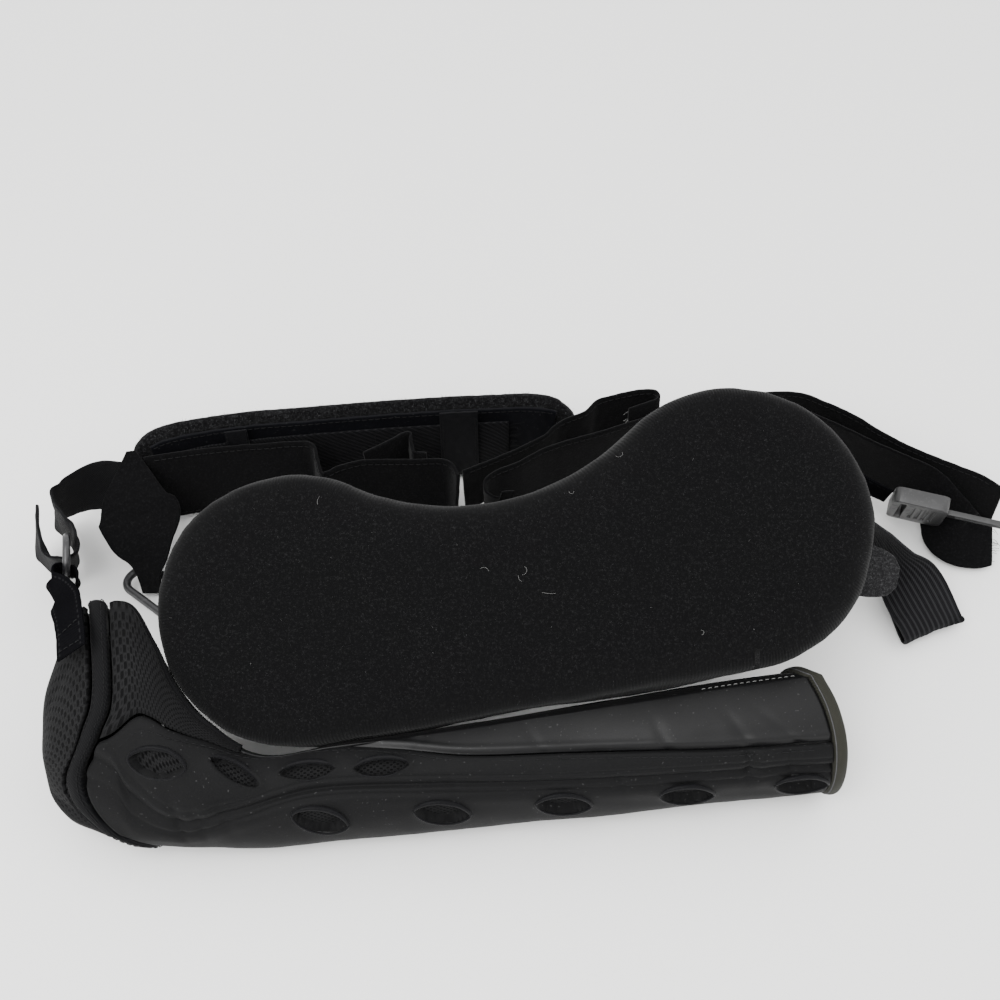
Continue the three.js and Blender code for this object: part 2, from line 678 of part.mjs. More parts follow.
// Through the keepers, out past the pad's end, through the slide ring and back on itself.
const shoulderStrapRows = [
  { x: 0.02, y: 1.04, z: 0.42, heading: 90, pitch: 90 },
  { x: -0.219, y: 1.018, z: 0.42, heading: 90, pitch: 90 },
  { x: -0.437, y: 0.988, z: 0.42, heading: 90, pitch: 90 },
  { x: -0.544, y: 0.971, z: 0.42, heading: 90, pitch: 90 },
  { x: -0.65, y: 0.946, z: 0.42, heading: 90, pitch: 90 },
  { x: -0.734, y: 0.91, z: 0.42, heading: 90, pitch: 90 },
  { x: -0.779, y: 0.887, z: 0.42, heading: 85, pitch: 90 },
  { x: -0.82, y: 0.884, z: 0.42, heading: 70, pitch: 88 },
  { x: -0.872, y: 0.884, z: 0.42, heading: 40, pitch: 82 },
  { x: -0.92, y: 0.866, z: 0.42, heading: 7, pitch: 77 },
  { x: -0.958, y: 0.83, z: 0.43, heading: -11, pitch: 76 },
  { x: -0.97, y: 0.795, z: 0.44, heading: -40, pitch: 72 },
  { x: -0.954, y: 0.756, z: 0.44, heading: -52, pitch: 68 },
  { x: -0.93, y: 0.714, z: 0.44, heading: -52, pitch: 64 },
  { x: -0.91, y: 0.675, z: 0.44, heading: -52, pitch: 61 },
  { x: -0.901, y: 0.635, z: 0.44, heading: -52, pitch: 60 },
  { x: -0.901, y: 0.613, z: 0.44, heading: -52, pitch: 60 },
  { x: -0.914, y: 0.606, z: 0.44, heading: -52, pitch: 60 },
  { x: -0.938, y: 0.608, z: 0.44, heading: -52, pitch: 61 },
  { x: -0.962, y: 0.64, z: 0.44, heading: -50, pitch: 63 },
  { x: -0.988, y: 0.69, z: 0.44, heading: -30, pitch: 68 },
  { x: -0.998, y: 0.722, z: 0.43, heading: -20, pitch: 70 },
];

// Round the front bar of the slide ring and down over the elbow.
const elbowTabRows = [
  { x: -0.872, y: 0.49, z: 0.52, heading: -52, pitch: 60 },
  { x: -0.876, y: 0.538, z: 0.52, heading: -52, pitch: 60 },
  { x: -0.888, y: 0.557, z: 0.52, heading: -52, pitch: 60 },
  { x: -0.906, y: 0.554, z: 0.54, heading: -52, pitch: 60 },
  { x: -0.916, y: 0.528, z: 0.6, heading: -50, pitch: 60 },
  { x: -0.9, y: 0.475, z: 0.72, heading: -48, pitch: 58 },
  { x: -0.865, y: 0.41, z: 0.92, heading: -35, pitch: 52 },
  { x: -0.83, y: 0.34, z: 1.14, heading: -15, pitch: 46 },
  { x: -0.795, y: 0.26, z: 1.39, heading: 8, pitch: 38 },
  { x: -0.768, y: 0.18, z: 1.52, heading: 20, pitch: 34 },
  { x: -0.754, y: 0.115, z: 1.53, heading: 25, pitch: 32 },
];

// The waist belt folds over at the left and tapers down into its ring.
const beltEndRows = [
  { x: -0.798, y: 0.89, z: 0.867, heading: -175, pitch: 0, spread: 0.1 },
  { x: -0.792, y: 0.839, z: 0.733, heading: -184, pitch: 0, spread: 0.45 },
  { x: -0.786, y: 0.782, z: 0.617, heading: -182, pitch: -3, spread: 0.79 },
  { x: -0.775, y: 0.742, z: 0.533, heading: -180, pitch: -3, spread: 0.98 },
  { x: -0.766, y: 0.688, z: 0.442, heading: -179, pitch: -2, spread: 0.79 },
  { x: -0.758, y: 0.651, z: 0.342, heading: -185, pitch: -2, spread: 0.56 },
  { x: -0.755, y: 0.624, z: 0.21, heading: -205, pitch: 0, spread: 0.34 },
  { x: -0.748, y: 0.59, z: 0.076, heading: -215, pitch: 0, spread: 0.3 },
];
const beltMiddleRows = [
  { x: -0.77, y: 0.866, z: 0.44, heading: 90, pitch: 83 },
  { x: -0.676, y: 0.891, z: 0.44, heading: 90, pitch: 83 },
  { x: -0.59, y: 0.906, z: 0.44, heading: 90, pitch: 83 },
  { x: -0.504, y: 0.918, z: 0.44, heading: 90, pitch: 83 },
  { x: -0.44, y: 0.926, z: 0.44, heading: 90, pitch: 84 },
  { x: -0.412, y: 0.92, z: 0.44, heading: 90, pitch: 86 },
  { x: -0.4, y: 0.885, z: 0.43, heading: 60, pitch: 88 },
  { x: -0.384, y: 0.836, z: 0.41, heading: 60, pitch: 90 },
  { x: -0.368, y: 0.832, z: 0.41, heading: 90, pitch: 87 },
  { x: -0.346, y: 0.848, z: 0.41, heading: 90, pitch: 85 },
  { x: -0.304, y: 0.866, z: 0.41, heading: 90, pitch: 85 },
  { x: -0.249, y: 0.87, z: 0.41, heading: 90, pitch: 85 },
  { x: -0.184, y: 0.87, z: 0.41, heading: 90, pitch: 85 },
  { x: -0.119, y: 0.868, z: 0.41, heading: 90, pitch: 85 },
  { x: -0.094, y: 0.83, z: 0.4, heading: 60, pitch: 88 },
];
const beltLoopRows = [
  { x: -0.29, y: 0.893, z: 0.584, heading: 90, pitch: 86 },
  { x: -0.248, y: 0.923, z: 0.601, heading: 90, pitch: 86 },
  { x: -0.214, y: 0.953, z: 0.617, heading: 90, pitch: 88 },
  { x: -0.2, y: 0.958, z: 0.617, heading: 45, pitch: 90 },
  { x: -0.194, y: 0.928, z: 0.601, heading: 0, pitch: 90 },
  { x: -0.186, y: 0.9, z: 0.584, heading: 45, pitch: 90 },
  { x: -0.16, y: 0.891, z: 0.584, heading: 90, pitch: 88 },
];
const beltCrossingRows = [
  { x: -0.078, y: 0.849, z: 0.47, heading: -75, pitch: 84 },
  { x: 0, y: 0.901, z: 0.5, heading: -70, pitch: 80 },
  { x: 0.087, y: 0.967, z: 0.51, heading: -70, pitch: 80 },
  { x: 0.132, y: 1.009, z: 0.53, heading: -75, pitch: 84 },
  { x: 0.188, y: 1.037, z: 0.55, heading: -85, pitch: 88 },
  { x: 0.218, y: 1.074, z: 0.56, heading: -90, pitch: 90 },
  { x: 0.263, y: 1.097, z: 0.56, heading: -90, pitch: 90 },
  { x: 0.313, y: 1.114, z: 0.56, heading: -90, pitch: 90 },
  { x: 0.348, y: 1.114, z: 0.56, heading: -45, pitch: 90 },
  { x: 0.356, y: 1.089, z: 0.56, heading: 0, pitch: 90 },
  { x: 0.335, y: 1.071, z: 0.55, heading: -45, pitch: 90 },
  { x: 0.29, y: 1.051, z: 0.54, heading: -90, pitch: 90 },
];
const beltLongRows = [
  { x: 0.02, y: 0.79, z: 0.38, heading: -90, pitch: 88 },
  { x: -0.016, y: 0.785, z: 0.4, heading: -80, pitch: 88 },
  { x: -0.03, y: 0.81, z: 0.44, heading: -30, pitch: 88 },
  { x: -0.012, y: 0.838, z: 0.46, heading: -60, pitch: 88 },
  { x: 0.043, y: 0.873, z: 0.475, heading: -90, pitch: 88 },
  { x: 0.107, y: 0.925, z: 0.48, heading: -90, pitch: 88 },
  { x: 0.221, y: 0.985, z: 0.48, heading: -90, pitch: 86 },
  { x: 0.312, y: 1.035, z: 0.48, heading: -90, pitch: 84 },
  { x: 0.386, y: 1.075, z: 0.48, heading: -90, pitch: 84 },
  { x: 0.521, y: 1.13, z: 0.452, heading: -90, pitch: 84 },
  { x: 0.66, y: 1.155, z: 0.435, heading: -90, pitch: 84 },
  { x: 0.744, y: 1.12, z: 0.402, heading: -90, pitch: 84 },
  { x: 0.808, y: 1.07, z: 0.375, heading: -90, pitch: 84 },
  { x: 0.846, y: 1.028, z: 0.36, heading: -90, pitch: 84 },
  { x: 0.885, y: 0.99, z: 0.35, heading: -90, pitch: 84 },
  { x: 0.923, y: 0.958, z: 0.345, heading: -90, pitch: 84 },
  { x: 0.964, y: 0.925, z: 0.345, heading: -90, pitch: 84 },
  { x: 1, y: 0.9, z: 0.345, heading: -90, pitch: 84 },
  { x: 1.05, y: 0.86, z: 0.345, heading: -90, pitch: 84 },
  { x: 1.09, y: 0.81, z: 0.345, heading: -90, pitch: 84 },
];
const beltReturnRows = [
  { x: 0.674, y: 1.1, z: 0.476, heading: -90, pitch: 76, spread: 1 },
  { x: 0.733, y: 1.06, z: 0.459, heading: -90, pitch: 76, spread: 1 },
  { x: 0.778, y: 1.02, z: 0.459, heading: -90, pitch: 76, spread: 1 },
  { x: 0.806, y: 0.995, z: 0.459, heading: -90, pitch: 76, spread: 1 },
  { x: 0.837, y: 0.972, z: 0.442, heading: -90, pitch: 76, spread: 1 },
  { x: 0.867, y: 0.95, z: 0.426, heading: -90, pitch: 78, spread: 1 },
  { x: 0.9, y: 0.925, z: 0.409, heading: -85, pitch: 80, spread: 1 },
  { x: 0.936, y: 0.9, z: 0.376, heading: -60, pitch: 82, spread: 0.98 },
  { x: 0.964, y: 0.865, z: 0.35, heading: -17, pitch: 80, spread: 0.9 },
  { x: 0.984, y: 0.81, z: 0.28, heading: 44, pitch: 60, spread: 0.86 },
  { x: 1.005, y: 0.765, z: 0.2, heading: 67, pitch: 36, spread: 0.9 },
  { x: 1.045, y: 0.748, z: 0.16, heading: 71, pitch: 26, spread: 0.85 },
  { x: 1.085, y: 0.745, z: 0.14, heading: 76, pitch: 24, spread: 0.68 },
];
const elasticRows = [
  { x: 0.72, y: 0.7, z: 0.86, heading: 98, pitch: -40, spread: 0.6 },
  { x: 0.795, y: 0.67, z: 0.62, heading: 112, pitch: -42, spread: 0.7 },
  { x: 0.838, y: 0.62, z: 0.42, heading: 140, pitch: -34, spread: 0.8 },
  { x: 0.866, y: 0.57, z: 0.31, heading: 172, pitch: -16, spread: 0.9 },
  { x: 0.886, y: 0.525, z: 0.23, heading: 192, pitch: -6, spread: 0.98 },
  { x: 0.9, y: 0.49, z: 0.175, heading: 203, pitch: -2, spread: 1 },
  { x: 0.908, y: 0.468, z: 0.135, heading: 204, pitch: -1, spread: 1 },
  { x: 0.91, y: 0.466, z: 0.09, heading: 204, pitch: -1, spread: 1 },
  { x: 0.907, y: 0.488, z: 0.062, heading: 204, pitch: -1, spread: 1 },
  { x: 0.901, y: 0.535, z: 0.062, heading: 203, pitch: -1, spread: 1 },
  { x: 0.89, y: 0.59, z: 0.09, heading: 202, pitch: -2, spread: 1 },
  { x: 0.875, y: 0.64, z: 0.14, heading: 200, pitch: -3, spread: 0.95 },
];
const buckleLoopRows = [
  { x: 0.852, y: 0.831, z: 0.47, heading: -90, pitch: 70 },
  { x: 0.829, y: 0.846, z: 0.49, heading: -90, pitch: 72 },
  { x: 0.786, y: 0.872, z: 0.53, heading: -90, pitch: 74 },
];
const sideTabRows = [
  { x: 0.699, y: 0.444, z: 1.08, heading: 72, pitch: 32, spread: 1 },
  { x: 0.73, y: 0.439, z: 1.06, heading: 72, pitch: 32, spread: 0.96 },
  { x: 0.76, y: 0.432, z: 1.045, heading: 72, pitch: 32, spread: 0.78 },
  { x: 0.776, y: 0.428, z: 1.04, heading: 72, pitch: 32, spread: 0.4 },
];

/** A closed loop of round wire along a rounded rectangle in the XY plane. */
function wireLoop({ length, width, wire }) {
  const corner = width * 0.34;
  const cornerSteps = 3;
  const sides = 7;
  const [a, b] = [(length - wire) / 2, (width - wire) / 2];
  const places = [];
  for (let quarter = 0; quarter < 4; quarter++) {
    const signX = quarter === 0 || quarter === 3 ? 1 : -1;
    const signY = quarter < 2 ? 1 : -1;
    for (let k = 0; k <= cornerSteps; k++) {
      const angle = (quarter + k / cornerSteps) * (Math.PI / 2);
      const out = new THREE.Vector3(Math.cos(angle), Math.sin(angle), 0);
      const at = new THREE.Vector3(signX * (a - corner), signY * (b - corner), 0);
      at.addScaledVector(out, corner);
      for (let side = 0; side < sides; side++) {
        const turn = (2 * Math.PI * (side + 0.5)) / sides;
        const p = at.clone().addScaledVector(out, (wire / 2) * Math.cos(turn));
        places.push(p.x, p.y, p.z + (wire / 2) * Math.sin(turn));
      }
    }
  }
  const corners = [];
  const count = 4 * (cornerSteps + 1);
  for (let i = 0; i < count; i++) {
    for (let side = 0; side < sides; side++) {
      const p = i * sides + side;
      const q = i * sides + ((side + 1) % sides);
      const next = (((i + 1) % count) - i) * sides;
      corners.push(p, q, q + next, p, q + next, p + next);
    }
  }
  const geometry = new THREE.BufferGeometry();
  geometry.setAttribute("position", new THREE.Float32BufferAttribute(places, 3));
  geometry.setIndex(corners);
  return outward(geometry);
}

/** A rounded rectangle centred on the origin. */
function roundedRectangle(length, height, corner) {
  const shape = new THREE.Shape();
  const [a, b] = [length / 2 - corner, height / 2 - corner];
  shape.absarc(a, b, corner, 0, Math.PI / 2);
  shape.absarc(-a, b, corner, Math.PI / 2, Math.PI);
  shape.absarc(-a, -b, corner, Math.PI, 1.5 * Math.PI);
  shape.absarc(a, -b, corner, 1.5 * Math.PI, 2 * Math.PI);
  return shape;
}

/** A plate in the XY plane, centred on the origin. */
function plate(length, height, corner, thickness) {
  const geometry = new THREE.ExtrudeGeometry(roundedRectangle(length, height, corner), {
    depth: thickness,
    bevelEnabled: false,
    curveSegments: 2,
  });
  return toSolid(geometry.translate(0, 0, -thickness / 2));
}

/** The buckle's shell: a block with a through slot for the webbing and grip grooves on both faces. */
function buckleGeometry() {
  const { length, height, thickness, corner, slot, ribs, ribDepth } = buckle;
  let body = plate(length, height, corner, thickness);
  const slotX = slot.fromEnd + slot.length / 2 - length / 2;
  body = body.subtract(plate(slot.length, slot.height, 1, 2 * thickness).translate(slotX, 0, 0));
  const pitch = (length - slot.fromEnd - slot.length - corner) / (ribs + 1);
  for (let k = 0; k < ribs; k++) {
    const x = slotX + slot.length / 2 + pitch * (k + 1.2);
    const groove = plate(pitch * 0.5, height * 0.6, 0.4, 2 * ribDepth);
    body = body.subtract(groove.translate(x, 0, thickness / 2));
    body = body.subtract(groove.translate(x, 0, -thickness / 2));
  }
  const mouth = plate(corner * 1.6, height * 0.62, 1, thickness * 0.5);
  return toGeometry(body.subtract(mouth.translate(length / 2, 0, 0)));
}

/** The bar that the belt's edge lies along, slotted end to end. */
function plugGeometry() {
  const bar = plate(plug.length, plug.height, 1.2, plug.thickness);
  const slot = plate(plug.length * 0.7, plug.slot, 0.5, 2 * plug.thickness);
  return toGeometry(bar.subtract(slot));
}

/** Turns a flat part so its length runs along a heading, leaning towards the front. */
function stand(mesh, heading, lean, { x, y, z }) {
  const upright = new THREE.Matrix4().makeRotationX((90 + lean) * DEGREE);
  const turned = new THREE.Matrix4().makeRotationZ(heading * DEGREE).multiply(upright);
  mesh.quaternion.setFromRotationMatrix(turned);
  mesh.position.set(x, y, z);
}

buildSleeve();

const cushion = addMesh("pillow", pillowGeometry(), finishes.knit);
cushion.rotation.set(pillow.lean * DEGREE, 0, pillow.turn * DEGREE, "XYZ");
cushion.position.copy(pillow.middle);
addMesh("pillow_side_tab", strapGeometry(sideTabRows, sideTab, 6), finishes.fleece);

const padFront = pad.thickness / 2;
const facingLift = padFront + CLEARANCE + facing.thickness / 2;
const keeperLift = padFront + facing.thickness + 2 * webbing.thickness + 5 * CLEARANCE;
addMesh("shoulder_pad", strapGeometry(padRows, pad, 26), finishes.fleece);
addMesh("shoulder_pad_facing", strapGeometry(padRows, facing, 24, { lift: facingLift, from: 0.14, to: 0.86 }), finishes.facing);
addMesh("shoulder_strap", strapGeometry(shoulderStrapRows, webbing, 52), finishes.webbing);
addMesh("pad_keeper_left", strapGeometry(padRows, smallKeeper, 2, { lift: keeperLift, from: 0.34, to: 0.385 }), finishes.webbing);
addMesh("pad_keeper_middle", strapGeometry(padRows, wideKeeper, 2, { lift: keeperLift, from: 0.635, to: 0.672 }), finishes.webbing);
addMesh("elbow_tab", strapGeometry(elbowTabRows, satin, 30), finishes.webbing);

addMesh("belt_end", strapGeometry(beltEndRows, belt, 20), finishes.loop);
addMesh("belt_middle", strapGeometry(beltMiddleRows, belt, 46), finishes.loop);
addMesh("belt_loop", strapGeometry(beltLoopRows, { ...belt, width: 30 }, 26), finishes.loop);
addMesh("belt_crossing", strapGeometry(beltCrossingRows, narrowBelt, 34), finishes.loop);
addMesh("belt_long", strapGeometry(beltLongRows, narrowBelt, 50), finishes.loop);
addMesh("belt_return", strapGeometry(beltReturnRows, webbing, 32), finishes.loop);
addMesh("elastic_strap", strapGeometry(elasticRows, elastic, 36), finishes.webbing);
addMesh("buckle_loop", strapGeometry(buckleLoopRows, satin, 6), finishes.webbing);

const slideLoop = addMesh("strap_ring", wireLoop(slideRing), finishes.plastic);
const ringUp = new THREE.Vector3().copy(slideRing.up).normalize();
const ringNormal = new THREE.Vector3().copy(slideRing.normal);
ringNormal.addScaledVector(ringUp, -ringNormal.dot(ringUp)).normalize();
const ringAcross = new THREE.Vector3().crossVectors(ringNormal, ringUp);
slideLoop.quaternion.setFromRotationMatrix(new THREE.Matrix4().makeBasis(ringUp, ringAcross, ringNormal));
slideLoop.position.copy(slideRing.at);
const waistLoop = addMesh("belt_ring", wireLoop(beltRing), finishes.plastic);
waistLoop.rotation.z = beltRing.heading * DEGREE;
waistLoop.position.copy(beltRing.at);

const shell = addMesh("buckle", buckleGeometry(), finishes.plastic);
stand(shell, buckle.heading, buckle.lean, buckle.at);
const bar = addMesh("buckle_bar", plugGeometry(), finishes.plastic);
const reach = plug.start + plug.length / 2;
stand(bar, buckle.heading, buckle.lean, {
  x: buckle.at.x + reach * Math.cos(buckle.heading * DEGREE),
  y: buckle.at.y + reach * Math.sin(buckle.heading * DEGREE),
  z: buckle.at.z + plug.drop,
});

export default root;
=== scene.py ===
"""An arm sling with a kidney-shaped pillow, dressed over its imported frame.

Sizes are in millimetres in the layout's own frame and become metres when a mesh is made.
"""

import logging
import math
from collections.abc import Callable, Sequence
from dataclasses import dataclass
from enum import Enum

import bmesh
import bpy
import numpy as np
from mathutils import Matrix, Vector
from mathutils.bvhtree import BVHTree


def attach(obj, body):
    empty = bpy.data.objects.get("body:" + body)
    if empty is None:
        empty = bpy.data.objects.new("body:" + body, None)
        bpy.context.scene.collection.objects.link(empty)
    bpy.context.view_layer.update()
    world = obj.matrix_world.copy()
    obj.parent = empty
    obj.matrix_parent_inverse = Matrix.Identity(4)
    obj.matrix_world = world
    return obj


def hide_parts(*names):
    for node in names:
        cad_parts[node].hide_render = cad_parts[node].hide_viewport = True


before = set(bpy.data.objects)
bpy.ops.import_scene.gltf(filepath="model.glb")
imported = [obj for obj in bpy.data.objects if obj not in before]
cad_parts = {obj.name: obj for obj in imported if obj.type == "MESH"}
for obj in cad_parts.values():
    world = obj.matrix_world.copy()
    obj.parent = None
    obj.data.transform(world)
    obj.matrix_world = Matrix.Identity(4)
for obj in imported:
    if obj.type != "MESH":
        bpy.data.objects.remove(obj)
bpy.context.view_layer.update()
LOG = logging.getLogger("arm_sling")

MM = 0.001
DEGREE = math.pi / 180
CLEARANCE = 0.4
BODY = "root"
Array = np.ndarray


# Tables and layout


@dataclass(frozen=True)
class Table:
    """Rows of named columns, read between rows by a smooth curve."""

    columns: tuple[str, ...]
    rows: tuple[tuple[float, ...], ...]

    @property
    def last(self) -> int:
        """The last row's place."""
        return len(self.rows) - 1

    def at(self, column: str, place: float | Array) -> Array:
        """Read a column at fractional rows.

        Args:
            column: The column's name.
            place: Fractional rows, from 0 to last.

        Returns:
            The values there.
        """
        values = np.array([row[self.columns.index(column)] for row in self.rows], float)
        place = np.asarray(place, float)
        i = np.clip(np.floor(place).astype(int), 0, self.last - 1)
        t = place - i
        p, q, r, s = (values[np.clip(i + k, 0, self.last)] for k in (-1, 0, 1, 2))
        t2, t3 = t * t, t * t * t
        start = q * (2 * t3 - 3 * t2 + 1) + (r - p) / 2 * (t3 - 2 * t2 + t)
        return start + r * (3 * t2 - 2 * t3) + (s - q) / 2 * (t3 - t2)

    def where(self, column: str, value: float | Array) -> Array:
        """The fractional rows at which a rising column has these values."""
        places = np.linspace(0, self.last, 80 * self.last + 1)
        return np.interp(value, self.at(column, places), places)


@dataclass(frozen=True)
class Layout:
    """How the laid-out goods sit in the row's frame."""

    middle_x: float = 12.4
    middle_y: float = 100.0
    lift: float = 1.3
    length: float = 250.0
    depth: float = 200.0
    height: float = 60.0

    def world(self, points: Array) -> Array:
        """Take layout millimetres to metres in the row's frame."""
        return (np.asarray(points, float) + (-self.middle_x, -self.middle_y, self.lift)) * MM

    def place(self, points: Array) -> Array:
        """Take shares of the layout to its millimetres."""
        return np.asarray(points, float) * (self.length, self.depth, self.height)


LAYOUT = Layout()

# Where the sleeve's skin, its seams, the straps and the belt lie, in shares of their named sizes
SECTIONS = Table(
    ("x", "front", "crown", "back", "base", "top", "belly", "bow"),
    (
        (-0.559, 0.2, 0.26, 0.3, 0.26, 0.4, 0.4, 1.5),
        (-0.551, 0.08, 0.36, 0.48, 0.12, 0.56, 0.35, 1.4),
        (-0.53, -0.02, 0.5, 0.64, 0.03, 0.75, 0.3, 1.35),
        (-0.495, -0.1, 0.64, 0.74, 0.005, 0.95, 0.26, 1.3),
        (-0.46, -0.155, 0.655, 0.76, 0, 1, 0.24, 1.35),
        (-0.432, -0.178, 0.64, 0.74, 0, 0.985, 0.24, 1.4),
        (-0.41, -0.19, 0.5, 0.64, 0, 0.88, 0.27, 1.5),
        (-0.385, -0.2, 0.3, 0.48, 0, 0.745, 0.31, 1.6),
        (-0.35, -0.208, 0.165, 0.34, 0, 0.63, 0.36, 1.8),
        (-0.287, -0.218, 0.055, 0.18, 0, 0.51, 0.4, 2),
        (-0.186, -0.222, 0.065, 0.2, 0, 0.53, 0.42, 2.1),
        (0.053, -0.225, 0.095, 0.27, 0, 0.59, 0.42, 2.1),
        (0.293, -0.22, 0.14, 0.34, 0, 0.645, 0.42, 2.1),
        (0.441, -0.21, 0.17, 0.37, 0.005, 0.645, 0.42, 2.1),
    ),
)
ELBOW_SEAM = Table(
    ("girth", "x"),
    (
        (-0.6, -0.47), (0, -0.47), (0.38, -0.468), (0.52, -0.486), (0.66, -0.512), (0.8, -0.507),
        (0.94, -0.48), (1.1, -0.445), (1.4, -0.425), (2.2, -0.42), (3, -0.44), (3.6, -0.47),
        (4.2, -0.47),
    ),
)
CUFF_EDGE = Table(
    ("girth", "x"),
    (
        (-1, 0.388), (-0.3, 0.39), (0, 0.402), (0.3, 0.414), (0.7, 0.42), (1.5, 0.42), (2.2, 0.41),
        (3, 0.388), (3.7, 0.39), (4, 0.402),
    ),
)
PANEL_SEAM = Table(
    ("x", "girth"),
    (
        (-0.6, 0.62), (-0.47, 0.54), (-0.41, 0.38), (-0.35, 0.12), (-0.28, -0.03), (-0.2, -0.02),
        (-0.12, 0.1), (-0.04, 0.25), (0.07, 0.34), (0.18, 0.43), (0.29, 0.51), (0.5, 0.56),
    ),
)
GROOVE = Table(
    ("x", "girth"),
    (
        (-0.6, 0.57), (-0.474, 0.61), (-0.443, 0.72), (-0.404, 0.79), (-0.363, 0.76),
        (-0.314, 0.58), (-0.265, 0.42), (-0.205, 0.39), (-0.085, 0.48), (0.068, 0.61), (0.237, 0.7),
        (0.5, 0.8),
    ),
)
PAD = Table(
    ("x", "y", "z", "heading", "pitch", "spread"),
    (
        (-0.786, 0.93, 0.47, 90, 90, 0.42), (-0.779, 0.938, 0.48, 90, 90, 0.8),
        (-0.734, 0.96, 0.49, 90, 90, 1), (-0.65, 0.99, 0.49, 90, 90, 1),
        (-0.544, 1.015, 0.49, 90, 90, 1), (-0.437, 1.03, 0.49, 90, 90, 1),
        (-0.219, 1.06, 0.49, 90, 90, 1), (0, 1.08, 0.49, 90, 90, 1), (0.09, 1.08, 0.49, 90, 90, 1),
        (0.13, 1.08, 0.48, 90, 90, 0.8), (0.139, 1.08, 0.47, 90, 90, 0.42),
    ),
)
SHOULDER_STRAP = Table(
    ("x", "y", "z", "heading", "pitch"),
    (
        (0.02, 1.04, 0.42, 90, 90), (-0.219, 1.018, 0.42, 90, 90), (-0.437, 0.988, 0.42, 90, 90),
        (-0.544, 0.971, 0.42, 90, 90), (-0.65, 0.946, 0.42, 90, 90), (-0.734, 0.91, 0.42, 90, 90),
        (-0.779, 0.887, 0.42, 85, 90), (-0.82, 0.884, 0.42, 70, 88), (-0.872, 0.884, 0.42, 40, 82),
        (-0.92, 0.866, 0.42, 7, 77), (-0.958, 0.83, 0.43, -11, 76), (-0.97, 0.795, 0.44, -40, 72),
        (-0.954, 0.756, 0.44, -52, 68), (-0.93, 0.714, 0.44, -52, 64),
        (-0.91, 0.675, 0.44, -52, 61), (-0.901, 0.635, 0.44, -52, 60),
        (-0.901, 0.613, 0.44, -52, 60), (-0.914, 0.606, 0.44, -52, 60),
        (-0.938, 0.608, 0.44, -52, 61), (-0.962, 0.64, 0.44, -50, 63),
        (-0.988, 0.69, 0.44, -30, 68), (-0.998, 0.722, 0.43, -20, 70),
    ),
)
ELBOW_TAB = Table(
    ("x", "y", "z", "heading", "pitch"),
    (
        (-0.872, 0.49, 0.52, -52, 60), (-0.876, 0.538, 0.52, -52, 60),
        (-0.888, 0.557, 0.52, -52, 60), (-0.906, 0.554, 0.54, -52, 60),
        (-0.916, 0.528, 0.6, -50, 60), (-0.9, 0.475, 0.72, -48, 58), (-0.865, 0.41, 0.92, -35, 52),
        (-0.83, 0.34, 1.14, -15, 46), (-0.795, 0.26, 1.39, 8, 38), (-0.768, 0.18, 1.52, 20, 34),
        (-0.754, 0.115, 1.53, 25, 32),
    ),
)
BELT_END = Table(
    ("x", "y", "z", "heading", "pitch", "spread"),
    (
        (-0.798, 0.89, 0.867, -175, 0, 0.1), (-0.792, 0.839, 0.733, -184, 0, 0.45),
        (-0.786, 0.782, 0.617, -182, -3, 0.79), (-0.775, 0.742, 0.533, -180, -3, 0.98),
        (-0.766, 0.688, 0.442, -179, -2, 0.79), (-0.758, 0.651, 0.342, -185, -2, 0.56),
        (-0.755, 0.624, 0.21, -205, 0, 0.34), (-0.748, 0.59, 0.076, -215, 0, 0.3),
    ),
)
BELT_MIDDLE = Table(
    ("x", "y", "z", "heading", "pitch"),
    (
        (-0.77, 0.866, 0.44, 90, 83), (-0.676, 0.891, 0.44, 90, 83), (-0.59, 0.906, 0.44, 90, 83),
        (-0.504, 0.918, 0.44, 90, 83), (-0.44, 0.926, 0.44, 90, 84), (-0.412, 0.92, 0.44, 90, 86),
        (-0.4, 0.885, 0.43, 60, 88), (-0.384, 0.836, 0.41, 60, 90), (-0.368, 0.832, 0.41, 90, 87),
        (-0.346, 0.848, 0.41, 90, 85), (-0.304, 0.866, 0.41, 90, 85), (-0.249, 0.87, 0.41, 90, 85),
        (-0.184, 0.87, 0.41, 90, 85), (-0.119, 0.868, 0.41, 90, 85), (-0.094, 0.83, 0.4, 60, 88),
    ),
)
BELT_LOOP = Table(
    ("x", "y", "z", "heading", "pitch"),
    (
        (-0.29, 0.893, 0.584, 90, 86), (-0.248, 0.923, 0.601, 90, 86),
        (-0.214, 0.953, 0.617, 90, 88), (-0.2, 0.958, 0.617, 45, 90), (-0.194, 0.928, 0.601, 0, 90),
        (-0.186, 0.9, 0.584, 45, 90), (-0.16, 0.891, 0.584, 90, 88),
    ),
)
BELT_CROSSING = Table(
    ("x", "y", "z", "heading", "pitch"),
    (
        (-0.078, 0.849, 0.47, -75, 84), (0, 0.901, 0.5, -70, 80), (0.087, 0.967, 0.51, -70, 80),
        (0.132, 1.009, 0.53, -75, 84), (0.188, 1.037, 0.55, -85, 88), (0.218, 1.074, 0.56, -90, 90),
        (0.263, 1.097, 0.56, -90, 90), (0.313, 1.114, 0.56, -90, 90), (0.348, 1.114, 0.56, -45, 90),
        (0.356, 1.089, 0.56, 0, 90), (0.335, 1.071, 0.55, -45, 90), (0.29, 1.051, 0.54, -90, 90),
    ),
)
